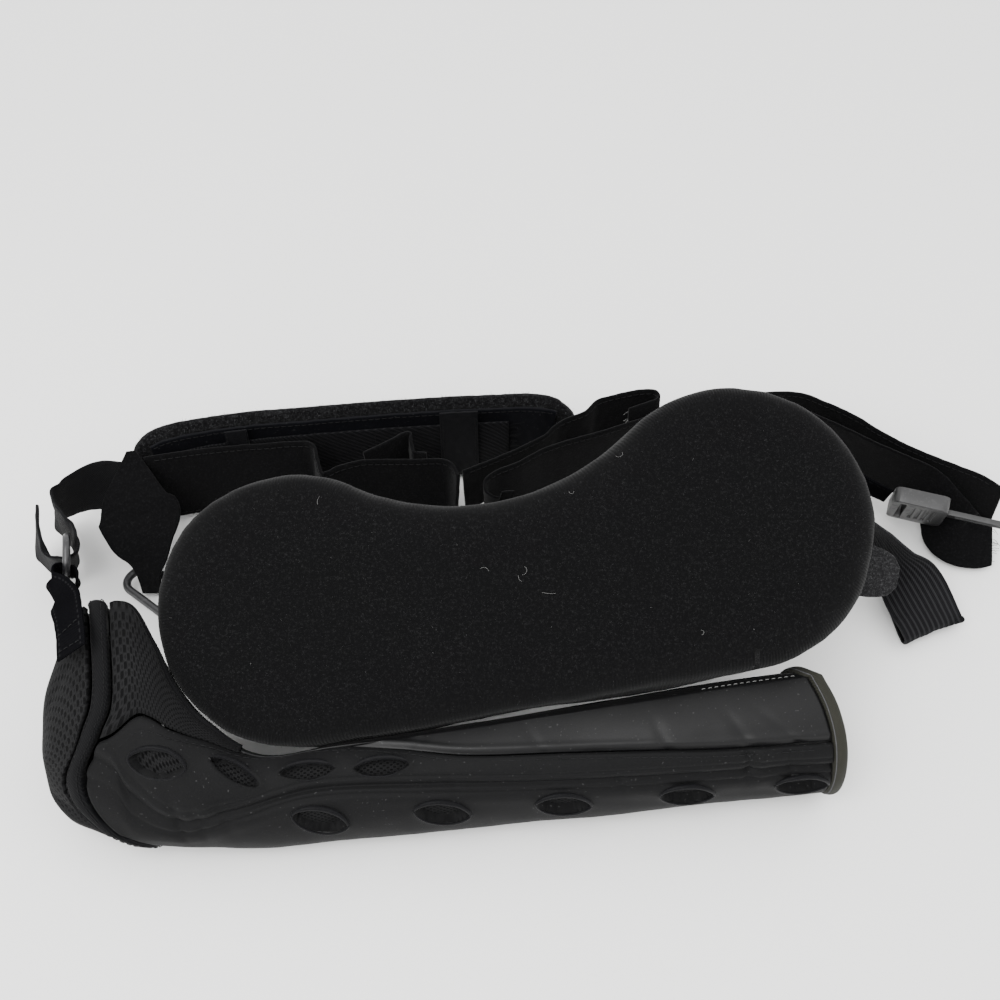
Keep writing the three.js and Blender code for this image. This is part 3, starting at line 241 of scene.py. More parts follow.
BELT_LONG = Table(
    ("x", "y", "z", "heading", "pitch"),
    (
        (0.02, 0.79, 0.38, -90, 88), (-0.016, 0.785, 0.4, -80, 88), (-0.03, 0.81, 0.44, -30, 88),
        (-0.012, 0.838, 0.46, -60, 88), (0.043, 0.873, 0.475, -90, 88),
        (0.107, 0.925, 0.48, -90, 88), (0.221, 0.985, 0.48, -90, 86), (0.312, 1.035, 0.48, -90, 84),
        (0.386, 1.075, 0.48, -90, 84), (0.521, 1.13, 0.452, -90, 84), (0.66, 1.155, 0.435, -90, 84),
        (0.744, 1.12, 0.402, -90, 84), (0.808, 1.07, 0.375, -90, 84), (0.846, 1.028, 0.36, -90, 84),
        (0.885, 0.99, 0.35, -90, 84), (0.923, 0.958, 0.345, -90, 84),
        (0.964, 0.925, 0.345, -90, 84), (1, 0.9, 0.345, -90, 84), (1.05, 0.86, 0.345, -90, 84),
        (1.09, 0.81, 0.345, -90, 84),
    ),
)
BELT_RETURN = Table(
    ("x", "y", "z", "heading", "pitch", "spread"),
    (
        (0.674, 1.1, 0.476, -90, 76, 1), (0.733, 1.06, 0.459, -90, 76, 1),
        (0.778, 1.02, 0.459, -90, 76, 1), (0.806, 0.995, 0.459, -90, 76, 1),
        (0.837, 0.972, 0.442, -90, 76, 1), (0.867, 0.95, 0.426, -90, 78, 1),
        (0.9, 0.925, 0.409, -85, 80, 1), (0.936, 0.9, 0.376, -60, 82, 0.98),
        (0.964, 0.865, 0.35, -17, 80, 0.9), (0.984, 0.81, 0.28, 44, 60, 0.86),
        (1.005, 0.765, 0.2, 67, 36, 0.9), (1.045, 0.748, 0.16, 71, 26, 0.85),
        (1.085, 0.745, 0.14, 76, 24, 0.68),
    ),
)
ELASTIC = Table(
    ("x", "y", "z", "heading", "pitch", "spread"),
    (
        (0.72, 0.7, 0.86, 98, -40, 0.6), (0.795, 0.67, 0.62, 112, -42, 0.7),
        (0.838, 0.62, 0.42, 140, -34, 0.8), (0.866, 0.57, 0.31, 172, -16, 0.9),
        (0.886, 0.525, 0.23, 192, -6, 0.98), (0.9, 0.49, 0.175, 203, -2, 1),
        (0.908, 0.468, 0.135, 204, -1, 1), (0.91, 0.466, 0.09, 204, -1, 1),
        (0.907, 0.488, 0.062, 204, -1, 1), (0.901, 0.535, 0.062, 203, -1, 1),
        (0.89, 0.59, 0.09, 202, -2, 1), (0.875, 0.64, 0.14, 200, -3, 0.95),
    ),
)
BUCKLE_LOOP = Table(
    ("x", "y", "z", "heading", "pitch"),
    (
        (0.852, 0.831, 0.47, -90, 70), (0.829, 0.846, 0.49, -90, 72), (0.786, 0.872, 0.53, -90, 74),
    ),
)
SIDE_TAB = Table(
    ("x", "y", "z", "heading", "pitch", "spread"),
    (
        (0.699, 0.444, 1.08, 72, 32, 1), (0.73, 0.439, 1.06, 72, 32, 0.96),
        (0.76, 0.432, 1.045, 72, 32, 0.78), (0.776, 0.428, 1.04, 72, 32, 0.4),
    ),
)
VENTS = Table(
    ("x", "girth", "tilt"),
    (
        (-0.405, 0.53, -14), (-0.317, 0.24, -8), (-0.232, 0.19, -4), (-0.143, 0.25, -2),
        (-0.221, 0.74, -24), (-0.075, 0.81, -16), (0.072, 0.87, -12), (0.223, 0.92, -10),
        (0.366, 0.95, -8),
    ),
)


# Meshes


def unit(vectors: Array) -> Array:
    """Scale vectors to length one."""
    return vectors / np.maximum(np.linalg.norm(vectors, axis=-1, keepdims=True), 1e-9)


def bump_at(value: Array, width: float) -> Array:
    """A bell of height one, as wide as given."""
    return np.exp(-((value / width) ** 2))


def step(low: float, high: float, value: Array) -> Array:
    """A soft step from 0 at low to 1 at high."""
    t = np.clip((value - low) / (high - low), 0, 1)
    return t * t * (3 - 2 * t)


def ripple(points: Array, scale: float, seed: int) -> Array:
    """Smooth unevenness between -1 and 1, the same on every run.

    Args:
        points: Points in millimetres.
        scale: The size of its waves, in millimetres.
        seed: Which of its patterns.

    Returns:
        One value for each point.
    """
    chance = np.random.default_rng(seed)
    total = np.zeros(points.shape[:-1])
    for _ in range(7):
        way = unit(chance.normal(size=3)) * chance.uniform(0.7, 1.6) * 2 * math.pi / scale
        total += np.sin(points @ way + chance.uniform(0, 2 * math.pi))
    return total / 4


def make_object(name: str, points: Array, faces: Array, uvs: Array | None = None, kinds: Array | None = None,
                notes: dict[str, Array] | None = None, outward: bool = True) -> bpy.types.Object:
    """Make a smooth-shaded object from points in the row's frame.

    Args:
        name: The piece's name.
        points: Its points, in metres.
        faces: Four corners a face, or three.
        uvs: A place on the cloth for each point, in metres.
        kinds: A material number for each face.
        notes: Float attributes by name, one value for each point.
        outward: Whether to turn the faces so that the shell's volume is positive.

    Returns:
        The object, linked to the scene.
    """
    faces = np.asarray(faces)
    if outward:
        a, b, c = (points[faces[:, k]] for k in (0, 1, 2))
        volume = np.sum(a * np.cross(b, c))
        if faces.shape[1] == 4:
            volume += np.sum(points[faces[:, 0]] * np.cross(c, points[faces[:, 3]]))
        if volume < 0:
            faces = faces[:, ::-1]
    mesh = bpy.data.meshes.new(name)
    mesh.from_pydata(points.tolist(), [], faces.tolist())
    if uvs is not None:
        corners = np.empty(len(mesh.loops), int)
        mesh.loops.foreach_get("vertex_index", corners)
        mesh.uv_layers.new(name="UVMap").data.foreach_set("uv", uvs[corners].ravel())
    if kinds is not None:
        mesh.polygons.foreach_set("material_index", np.asarray(kinds, int))
    for note, values in (notes or {}).items():
        mesh.attributes.new(note, "FLOAT", "POINT").data.foreach_set("value", values)
    mesh.polygons.foreach_set("use_smooth", np.ones(len(mesh.polygons), bool))
    mesh.update()
    made = bpy.data.objects.new(name, mesh)
    bpy.context.scene.collection.objects.link(made)
    return made


def grid_faces(rows: int, columns: int, start: int = 0, loops: bool = False) -> Array:
    """Faces of a grid of points, closed on itself along the columns where it loops."""
    r, c = np.meshgrid(np.arange(rows - 1), np.arange(columns if loops else columns - 1), indexing="ij")
    n = (c + 1) % columns
    corners = (r * columns + c, r * columns + n, (r + 1) * columns + n, (r + 1) * columns + c)
    return np.stack(corners, -1).reshape(-1, 4) + start


def shell(name: str, outer: Array, inner: Array, uvs: Array, loops: bool = False, kinds: Array | None = None,
          notes: dict[str, Array] | None = None) -> bpy.types.Object:
    """A closed wall between two grids of points.

    Args:
        name: The piece's name.
        outer: The outer skin, rows by columns by 3, in layout millimetres.
        inner: The inner skin, of the same shape.
        uvs: A place on the cloth for each grid point, in metres.
        loops: Whether the columns close on themselves.
        kinds: A material number for each outer face.
        notes: Float attributes by name, one value for each grid point.

    Returns:
        The object.
    """
    rows, columns = outer.shape[:2]
    count = rows * columns
    points = LAYOUT.world(np.concatenate([outer.reshape(-1, 3), inner.reshape(-1, 3)]))
    front = grid_faces(rows, columns, 0, loops)
    back = grid_faces(rows, columns, count, loops)[:, ::-1]
    ids = np.arange(count).reshape(rows, columns)
    edges = []
    ends = [(ids[0], True), (ids[-1], False)]
    if not loops:
        ends += [(ids[:, 0], False), (ids[:, -1], True)]
    for line, flip in ends:
        if loops:
            line = np.append(line, line[0])
        quad = np.stack([line[:-1], line[1:], line[1:] + count, line[:-1] + count], -1)
        edges.append(quad if not flip else quad[:, ::-1])
    faces = np.concatenate([front, back, *edges])
    every = np.concatenate([uvs.reshape(-1, 2)] * 2)
    if kinds is not None:
        kinds = np.concatenate([kinds, np.zeros(len(faces) - len(kinds), int)])
    both = {key: np.concatenate([v.ravel()] * 2) for key, v in (notes or {}).items()}
    made = make_object(name, points, faces, every, kinds, both)
    tidy = bmesh.new()
    tidy.from_mesh(made.data)
    bmesh.ops.recalc_face_normals(tidy, faces=tidy.faces)
    tidy.to_mesh(made.data)
    tidy.free()
    return made


def cloth_uv(points: Array) -> Array:
    """Lengths along the columns and the rows of a grid of points, in metres."""
    middle = points[points.shape[0] // 2]
    along = np.concatenate([[0], np.cumsum(np.linalg.norm(np.diff(middle, axis=0), axis=-1))])
    line = points[:, points.shape[1] // 2]
    across = np.concatenate([[0], np.cumsum(np.linalg.norm(np.diff(line, axis=0), axis=-1))])
    u, v = np.meshgrid(along, across)
    return np.stack([u, v], -1) * MM


def tube(points: Array, radius: float | Array, sides: int = 6, closed: bool = False) -> tuple[Array, Array]:
    """Points and faces of a round tube along a line, in the line's own units."""
    points = np.asarray(points, float)
    ahead = np.roll(points, -1, 0) - np.roll(points, 1, 0)
    if not closed:
        ahead[0] = points[1] - points[0]
        ahead[-1] = points[-1] - points[-2]
    ahead = unit(ahead)
    helper = np.where(np.abs(ahead[:, 2:3]) > 0.9, (1.0, 0.0, 0.0), (0.0, 0.0, 1.0))
    side = unit(np.cross(ahead, helper))
    up = np.cross(side, ahead)
    turn = np.linspace(0, 2 * math.pi, sides, endpoint=False)
    radius = np.broadcast_to(radius, (len(points),))[:, None, None]
    ring = side[:, None] * np.cos(turn)[None, :, None] + up[:, None] * np.sin(turn)[None, :, None]
    places = (points[:, None] + radius * ring).reshape(-1, 3)
    faces = grid_faces(len(points), sides, 0, True)
    if closed:
        first, final = np.arange(sides), np.arange(sides) + (len(points) - 1) * sides
        faces = np.concatenate([faces, np.stack([final, np.roll(final, -1), np.roll(first, -1), first], -1)])
    return places, faces


def join_parts(name: str, parts: Sequence[tuple[Array, Array]]) -> bpy.types.Object:
    """One object of many small point-and-face parts, given in layout millimetres."""
    points, faces, start = [], [], 0
    for places, corners in parts:
        points.append(places)
        faces.append(corners + start)
        start += len(places)
    made = make_object(name, LAYOUT.world(np.concatenate(points)), np.concatenate(faces), outward=False)
    tidy = bmesh.new()
    tidy.from_mesh(made.data)
    bmesh.ops.holes_fill(tidy, edges=[e for e in tidy.edges if e.is_boundary], sides=12)
    bmesh.ops.recalc_face_normals(tidy, faces=tidy.faces)
    for face in tidy.faces:
        face.smooth = True
    tidy.to_mesh(made.data)
    tidy.free()
    return made


def stitches(line: Array, normals: Array, length: float = 2.6, gap: float = 1.2, radius: float = 0.24) -> list:
    """Thread laid as a run of short stitches.

    Args:
        line: Points along the seam, in layout millimetres.
        normals: The cloth's outward direction at each point.
        length: A stitch's length.
        gap: The cloth between two stitches.
        radius: The thread's radius.

    Returns:
        Parts for join_parts.
    """
    run = np.concatenate([[0], np.cumsum(np.linalg.norm(np.diff(line, axis=0), axis=-1))])
    parts = []
    for start in np.arange(0.5, run[-1] - length, length + gap):
        where = start + np.array([0, 0.12, 0.5, 0.88, 1]) * length
        at = np.stack([np.interp(where, run, line[:, k]) for k in range(3)], -1)
        out = unit(np.stack([np.interp(where, run, normals[:, k]) for k in range(3)], -1))
        at = at + out * (np.array([-0.3, 0.12, 0.22, 0.12, -0.3])[:, None] * radius * 3)
        parts.append(tube(at, radius, 5))
    return parts


def fibres(name: str, source: bpy.types.Object, count: int, length: tuple[float, float], radius: float,
           stand: float, seed: int, keep: Callable[[Array, Array], Array] | None = None) -> bpy.types.Object:
    """Short fibres that grow from a piece's surface.

    Args:
        name: The new piece's name.
        source: The piece they grow on.
        count: How many are tried.
        length: The shortest and the longest, in millimetres.
        radius: A fibre's radius at its root, in millimetres.
        stand: From 0, lying on the surface, to 1, standing straight up.
        seed: Which of its patterns.
        keep: Chooses fibres by their roots in metres and their normals.

    Returns:
        The object.
    """
    chance = np.random.default_rng(seed)
    mesh = source.data
    mesh.calc_loop_triangles()
    corners = np.empty(len(mesh.loop_triangles) * 3, int)
    mesh.loop_triangles.foreach_get("vertices", corners)
    corners = corners.reshape(-1, 3)
    places = np.empty(len(mesh.vertices) * 3)
    mesh.vertices.foreach_get("co", places)
    a, b, c = (places.reshape(-1, 3)[corners[:, k]] for k in range(3))
    normals = np.cross(b - a, c - a)
    area = np.linalg.norm(normals, axis=-1)
    pick = chance.choice(len(area), count, p=area / area.sum())
    u, v = chance.uniform(size=(2, count, 1))
    u, v = np.where(u + v > 1, 1 - u, u), np.where(u + v > 1, 1 - v, v)
    root = a[pick] + u * (b[pick] - a[pick]) + v * (c[pick] - a[pick])
    normal = unit(normals[pick])
    if keep is not None:
        wanted = keep(root, normal)
        root, normal = root[wanted], normal[wanted]
    count = len(root)
    side = unit(np.cross(normal, chance.normal(size=(count, 3))))
    way = unit(normal * stand + side * (1 - stand) + 0.2 * chance.normal(size=(count, 3)))
    bend = np.cross(normal, side) * chance.uniform(-0.5, 0.5, (count, 1))
    size = chance.uniform(*length, (count, 1)) * MM
    steps = [root - normal * 0.1 * MM, root + way * size * 0.5, root + (way + bend * 0.5) * size]
    wide = [radius * MM, radius * 0.8 * MM, radius * 0.3 * MM]
    other = np.cross(way, side)
    rings = []
    for at, r in zip(steps, wide):
        rings += [at + r * (side * math.cos(t) + other * math.sin(t)) for t in (0, 2.094, 4.189)]
    points = np.stack(rings, 1).reshape(-1, 3)
    one = [(k, (k + 1) % 3, 3 + (k + 1) % 3, 3 + k) for k in range(3)]
    one += [(3 + k, 3 + (k + 1) % 3, 6 + (k + 1) % 3, 6 + k) for k in range(3)]
    one += [(8, 7, 6, 6), (0, 1, 2, 2)]
    quads = [q for q in one if len(set(q)) == 4]
    ends = [(6, 7, 8), (2, 1, 0)]
    starts = (np.arange(count) * 9)[:, None, None]
    faces = (np.array(quads)[None] + starts).reshape(-1, 4).tolist()
    faces += (np.array(ends)[None] + starts).reshape(-1, 3).tolist()
    grown = bpy.data.meshes.new(name)
    grown.from_pydata(points.tolist(), [], faces)
    grown.update()
    made = bpy.data.objects.new(name, grown)
    bpy.context.scene.collection.objects.link(made)
    return made


def dress(piece: bpy.types.Object, slot: str, finish: "bpy.types.Material | Sequence[bpy.types.Material]",
          *nodes: str) -> bpy.types.Object:
    """Give a piece its body and its material, and hide the nodes it stands for."""
    materials = [finish] if isinstance(finish, bpy.types.Material) else finish
    kinds = np.empty(len(piece.data.polygons), int)
    piece.data.polygons.foreach_get("material_index", kinds)
    piece.data.materials.clear()
    for material in materials:
        piece.data.materials.append(material)
    piece.data.polygons.foreach_set("material_index", np.minimum(kinds, len(materials) - 1))
    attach(piece, BODY)
    if nodes:
        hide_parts(*nodes)
    LOG.info("%s: %d faces", piece.name, len(piece.data.polygons))
    return piece


# Materials


class Value:
    """A number socket of a node tree that takes part in sums."""

    def __init__(self, sheet: "Recipe", socket: bpy.types.NodeSocket) -> None:
        """Wrap a socket."""
        self.sheet, self.socket = sheet, socket

    def _sum(self, operation: str, *others: "Value | float") -> "Value":
        """A Math node of this value and others."""
        values = {k: other for k, other in enumerate((self, *others))}
        return self.sheet.node("ShaderNodeMath", {"operation": operation}, values)["Value"]

    def __add__(self, other: "Value | float") -> "Value":
        """Add."""
        return self._sum("ADD", other)

    def __mul__(self, other: "Value | float") -> "Value":
        """Multiply."""
        return self._sum("MULTIPLY", other)

    def __sub__(self, other: "Value | float") -> "Value":
        """Subtract."""
        return self._sum("SUBTRACT", other)

    def __rsub__(self, other: float) -> "Value":
        """Subtract this from a number."""
        return (self * -1) + other

    __radd__ = __add__
    __rmul__ = __mul__

    def sin(self) -> "Value":
        """The sine."""
        return self._sum("SINE")

    def cos(self) -> "Value":
        """The cosine."""
        return self._sum("COSINE")

    def size(self) -> "Value":
        """The size without its sign."""
        return self._sum("ABSOLUTE")

    def power(self, exponent: float) -> "Value":
        """Raise to a power."""
        return self._sum("POWER", exponent)

    def least(self, other: "Value | float") -> "Value":
        """The smaller of two."""
        return self._sum("MINIMUM", other)

    def between(self, low: float, high: float) -> "Value":
        """A soft step from 0 at low to 1 at high, or down where low is the larger."""
        settings = {"interpolation_type": "SMOOTHSTEP"}
        rising = low < high
        ends = (low, high) if rising else (high, low)
        inputs = {"Value": self, "From Min": ends[0], "From Max": ends[1]}
        made = self.sheet.node("ShaderNodeMapRange", settings, inputs)
        return made["Result"] if rising else 1 - made["Result"]


class Outputs:
    """A node's outputs by name."""

    def __init__(self, sheet: "Recipe", node: bpy.types.Node) -> None:
        """Wrap a node."""
        self.sheet, self.node = sheet, node

    def __getitem__(self, name: str) -> Value:
        """The output of that name."""
        return Value(self.sheet, self.node.outputs[name])


class Recipe:
    """A material being written as nodes."""

    def __init__(self, name: str) -> None:
        """Start an empty material."""
        self.material = bpy.data.materials.new(name)
        self.material.use_nodes = True
        self.tree = self.material.node_tree
        self.tree.nodes.clear()
        self.shader = self.tree.nodes.new("ShaderNodeBsdfPrincipled")
        end = self.tree.nodes.new("ShaderNodeOutputMaterial")
        self.tree.links.new(self.shader.outputs[0], end.inputs["Surface"])

    def node(self, kind: str, settings: dict | None = None, inputs: dict | None = None) -> Outputs:
        """Add a node.

        Args:
            kind: Its type.
            settings: Its properties, set first.
            inputs: Numbers, colours or links by socket name or place.

        Returns:
            Its outputs.
        """
        made = self.tree.nodes.new(kind)
        for key, value in (settings or {}).items():
            setattr(made, key, value)
        for key, value in (inputs or {}).items():
            if isinstance(value, Value):
                self.tree.links.new(value.socket, made.inputs[key])
            else:
                made.inputs[key].default_value = value
        return Outputs(self, made)

    def noise(self, scale: float, detail: float = 2, roughness: float = 0.5,
              vector: Value | None = None) -> Value:
        """Noise on the object's own coordinates, scale being waves a metre."""
        where = vector or self.node("ShaderNodeTexCoord")["Object"]
        inputs = {"Vector": where, "Scale": scale, "Detail": detail, "Roughness": roughness}
        return self.node("ShaderNodeTexNoise", None, inputs)["Fac"]

    def cloth(self) -> tuple[Value, Value]:
        """The place on the cloth, along and across, in metres."""
        parts = self.node("ShaderNodeSeparateXYZ", None, {0: self.node("ShaderNodeTexCoord")["UV"]})
        return parts["X"], parts["Y"]

    def note(self, name: str) -> Value:
        """A float attribute."""
        return self.node("ShaderNodeAttribute", {"attribute_name": name})["Fac"]

    def blend(self, mask: Value, low: tuple, high: tuple) -> Value:
        """A colour from low to high by a mask."""
        inputs = {0: mask, 6: (*low, 1) if isinstance(low, tuple) else low, 7: (*high, 1)}
        made = self.node("ShaderNodeMix", {"data_type": "RGBA"}, inputs)
        return Value(self, made.node.outputs[2])

    def over(self, mask: Value, colour: Value, top: tuple) -> Value:
        """A colour laid over another by a mask."""
        made = self.node("ShaderNodeMix", {"data_type": "RGBA"}, {0: mask, 6: colour, 7: (*top, 1)})
        return Value(self, made.node.outputs[2])

    def finish(self, colour: Value, roughness: Value | float, height: Value | None = None, depth: float = 1,
               **constants: float | tuple) -> bpy.types.Material:
        """Join colour, roughness and relief to the shader.

        Args:
            colour: The base colour.
            roughness: The roughness.
            height: The relief, from 0 to 1.
            depth: How deep the relief is, in millimetres.
            constants: Numbers set on the shader's own sockets.

        Returns:
            The material.
        """
        self.tree.links.new(colour.socket, self.shader.inputs["Base Color"])
        if isinstance(roughness, Value):
            self.tree.links.new(roughness.socket, self.shader.inputs["Roughness"])
        else:
            self.shader.inputs["Roughness"].default_value = roughness
        if height is not None:
            inputs = {"Height": height, "Strength": 1.0, "Distance": depth * MM}
            relief = self.node("ShaderNodeBump", None, inputs)
            self.tree.links.new(relief["Normal"].socket, self.shader.inputs["Normal"])
        for key, value in constants.items():
            self.shader.inputs[key.replace("_", " ").title().replace("Ior", "IOR")].default_value = value
        return self.material


Colour = tuple[float, float, float]


@dataclass(frozen=True)
class Nap:
    """Brushed or napped cloth: fine pile with pale fibre ends."""

    name: str
    deep: Colour = (0.0022, 0.0022, 0.0024)
    tips: Colour = (0.018, 0.018, 0.0185)
    grain: float = 2000.0
    amount: float = 0.5
    relief: float = 0.3
    sheen: float = 0.05
    ribs: bool = False

    def make(self) -> bpy.types.Material:
        """Write the material."""
        r = Recipe(self.name)
        fine = r.noise(self.grain, 3, 0.65)
        pile = r.noise(self.grain * 0.37, 2, 0.55)
        cloud = r.noise(28, 2)
        tips = (fine * 0.6 + pile * 0.4).between(0.56 - 0.16 * self.amount, 0.84)
        lint = r.noise(self.grain * 0.55, 0).between(0.79, 0.86) * 0.4
        tone = (tips + lint).least(1) * (cloud * 0.7 + 0.6)
        height = fine * 0.6 + pile * 0.4
        if self.ribs:
            rim = r.note("rim")
            wave = (r.note("around") * (2 * math.pi / 0.0016)).sin()
            wave = wave * rim
            tone = tone * (1 - rim * 0.35) + wave.between(0.2, 1) * 0.05
            height = height * (1 - rim * 0.5) + wave * 0.3
        colour = r.blend(tone, self.deep, self.tips)
        return r.finish(colour, 0.96, height, self.relief, sheen_weight=self.sheen, sheen_roughness=0.45,
                        specular_ior_level=0.05)


@dataclass(frozen=True)
class Weave:
    """Webbing, ribbon or elastic, woven along its length."""

    name: str
    deep: Colour = (0.002, 0.002, 0.0025)
    lit: Colour = (0.016, 0.016, 0.017)
    width: float = 38.0
    pitch: tuple[float, float] = (1.3, 1.5)
    slant: float = 0.5
    roughness: float = 0.7
    relief: float = 0.3
    specular: float = 0.05
    grooves: int = 0
    sewn: float = 0.0
    sheen: float = 0.02

    def make(self) -> bpy.types.Material:
        """Write the material."""
        r = Recipe(self.name)
        along, across = r.cloth()
        turn = 2 * math.pi / MM
        u = along * (turn / self.pitch[0])
        v = across * (turn / self.pitch[1])
        yarn = (u + v * self.slant).sin() * v.cos() * 0.5 + 0.5
        hair = r.noise(2600, 2, 0.6)
        cloud = r.noise(45, 2)
        height = yarn * 0.75 + hair * 0.25
        tone = (yarn * 0.55 + hair * 0.45).between(0.42, 0.9) * (cloud * 0.8 + 0.5)
        if self.grooves:
            wave = (across * (turn * self.grooves / self.width)).cos() * 0.5 + 0.5
            height = height * 0.35 + wave * 0.65
            tone = tone * 0.55 + wave.between(0.35, 1) * 0.4
        colour = r.blend(tone.least(1), self.deep, self.lit)
        if self.sewn:
            edge = (across * (1 / MM) - self.width / 2).size()
            line = (edge - (self.width / 2 - self.sewn)).size().between(0.55, 0.2)
            dash = (along * (turn / 3.2)).sin().between(-0.3, 0.2)
            colour = r.over(line * dash * 0.55, colour, (0.018, 0.018, 0.019))
            height = height - line * 0.5 + line * dash * 0.6
        rough = hair * 0.2 + (self.roughness - 0.1)
        return r.finish(colour, rough, height, self.relief, sheen_weight=self.sheen,
                        specular_ior_level=self.specular)


@dataclass(frozen=True)
class SpacerMesh:
    """Knitted spacer mesh with rows of open cells."""

    name: str
    deep: Colour = (0.001, 0.001, 0.0012)
    lit: Colour = (0.012, 0.012, 0.0125)
    cell: tuple[float, float] = (3.3, 2.5)

    def make(self) -> bpy.types.Material:
        """Write the material."""
        r = Recipe(self.name)
        along, across = r.cloth()
        turn = 2 * math.pi / MM
        wander = r.noise(90, 1) * 0.9
        u = along * (turn / self.cell[0]) + wander
        v = across * (turn / self.cell[1]) + wander
        lattice = u.cos() * v.cos()
        hole = lattice.between(0.1, 0.42)
        bridge = 1 - (lattice + 0.35).size().between(0, 0.7)
        hair = r.noise(2400, 2, 0.6)
        tone = (1 - hole) * (bridge * 0.5 + hair * 0.5) * (r.noise(35, 2) * 0.9 + 0.45)
        colour = r.blend(tone.least(1), self.deep, self.lit)
        height = (1 - hole) * 0.8 + hair * 0.2
        return r.finish(colour, 0.8, height, 0.7, sheen_weight=0.02, specular_ior_level=0.08)


@dataclass(frozen=True)
class Laminate:
    """Smooth cloth bonded to foam: speckled with painted glints, and softly shining."""

    name: str
    deep: Colour = (0.0018, 0.0018, 0.002)
    lit: Colour = (0.0055, 0.0055, 0.0058)
    roughness: float = 0.6
    grain: float = 1900.0
    relief: float = 0.16
    sheen: float = 0.01
    specular: float = 0.08

    def make(self) -> bpy.types.Material:
        """Write the material."""
        r = Recipe(self.name)
        fine = r.noise(self.grain, 3, 0.7)
        cloud = r.noise(30, 3, 0.6)
        # Sparse pale specks: a painted highlight standing for the laminate's speckled glints.
        glint_specks = r.noise(950, 0).between(0.78, 0.84)
        tone = (fine.between(0.35, 0.8) * 0.7 + cloud * 0.45).least(1)
        colour = r.over(glint_specks * 0.22, r.blend(tone, self.deep, self.lit), (0.1, 0.1, 0.1))
        rough = fine * 0.16 + cloud * 0.16 + (self.roughness - 0.16)
        return r.finish(colour, rough, fine * 0.7 + cloud * 0.3, self.relief, sheen_weight=self.sheen,
                        specular_ior_level=self.specular)


@dataclass(frozen=True)
class Moulded:
    """Moulded plastic with rubbed places and a fine grain."""

    name: str
    deep: Colour = (0.008, 0.008, 0.009)
    rubbed: Colour = (0.06, 0.06, 0.062)
    roughness: float = 0.3

    def make(self) -> bpy.types.Material:
        """Write the material."""
        r = Recipe(self.name)
        grain = r.noise(2600, 2, 0.6)
        rub = r.noise(240, 3, 0.6).between(0.52, 0.75)
        scratch = r.noise(900, 1).between(0.6, 0.72) * 0.35
        colour = r.blend((rub * 0.5 + scratch).least(1), self.deep, self.rubbed)
        return r.finish(colour, rub * 0.22 + grain * 0.12 + self.roughness, grain, 0.04, specular_ior_level=0.55)


@dataclass(frozen=True)
class Yarn:
    """Sewing thread, frayed yarn and loose hairs."""

    name: str
    deep: Colour = (0.003, 0.003, 0.0033)
    lit: Colour = (0.014, 0.014, 0.0145)

    def make(self) -> bpy.types.Material:
        """Write the material."""
        r = Recipe(self.name)
        fine = r.noise(3200, 2, 0.6)
        colour = r.blend(fine.between(0.3, 0.75), self.deep, self.lit)
        return r.finish(colour, 0.75, fine, 0.05, specular_ior_level=0.1)


@dataclass(frozen=True)
class Paper:
    """The pale sweep that the sling lies on."""

    name: str
    low: Colour = (0.86, 0.862, 0.85)
    high: Colour = (0.9, 0.9, 0.895)

    def make(self) -> bpy.types.Material:
        """Write the material."""
        r = Recipe(self.name)
        tone = r.noise(3, 2) * 0.7 + r.noise(420, 2) * 0.3
        colour = r.blend(tone, self.low, self.high)
        return r.finish(colour, 0.75, r.noise(300, 2), 0.05, specular_ior_level=0.25)


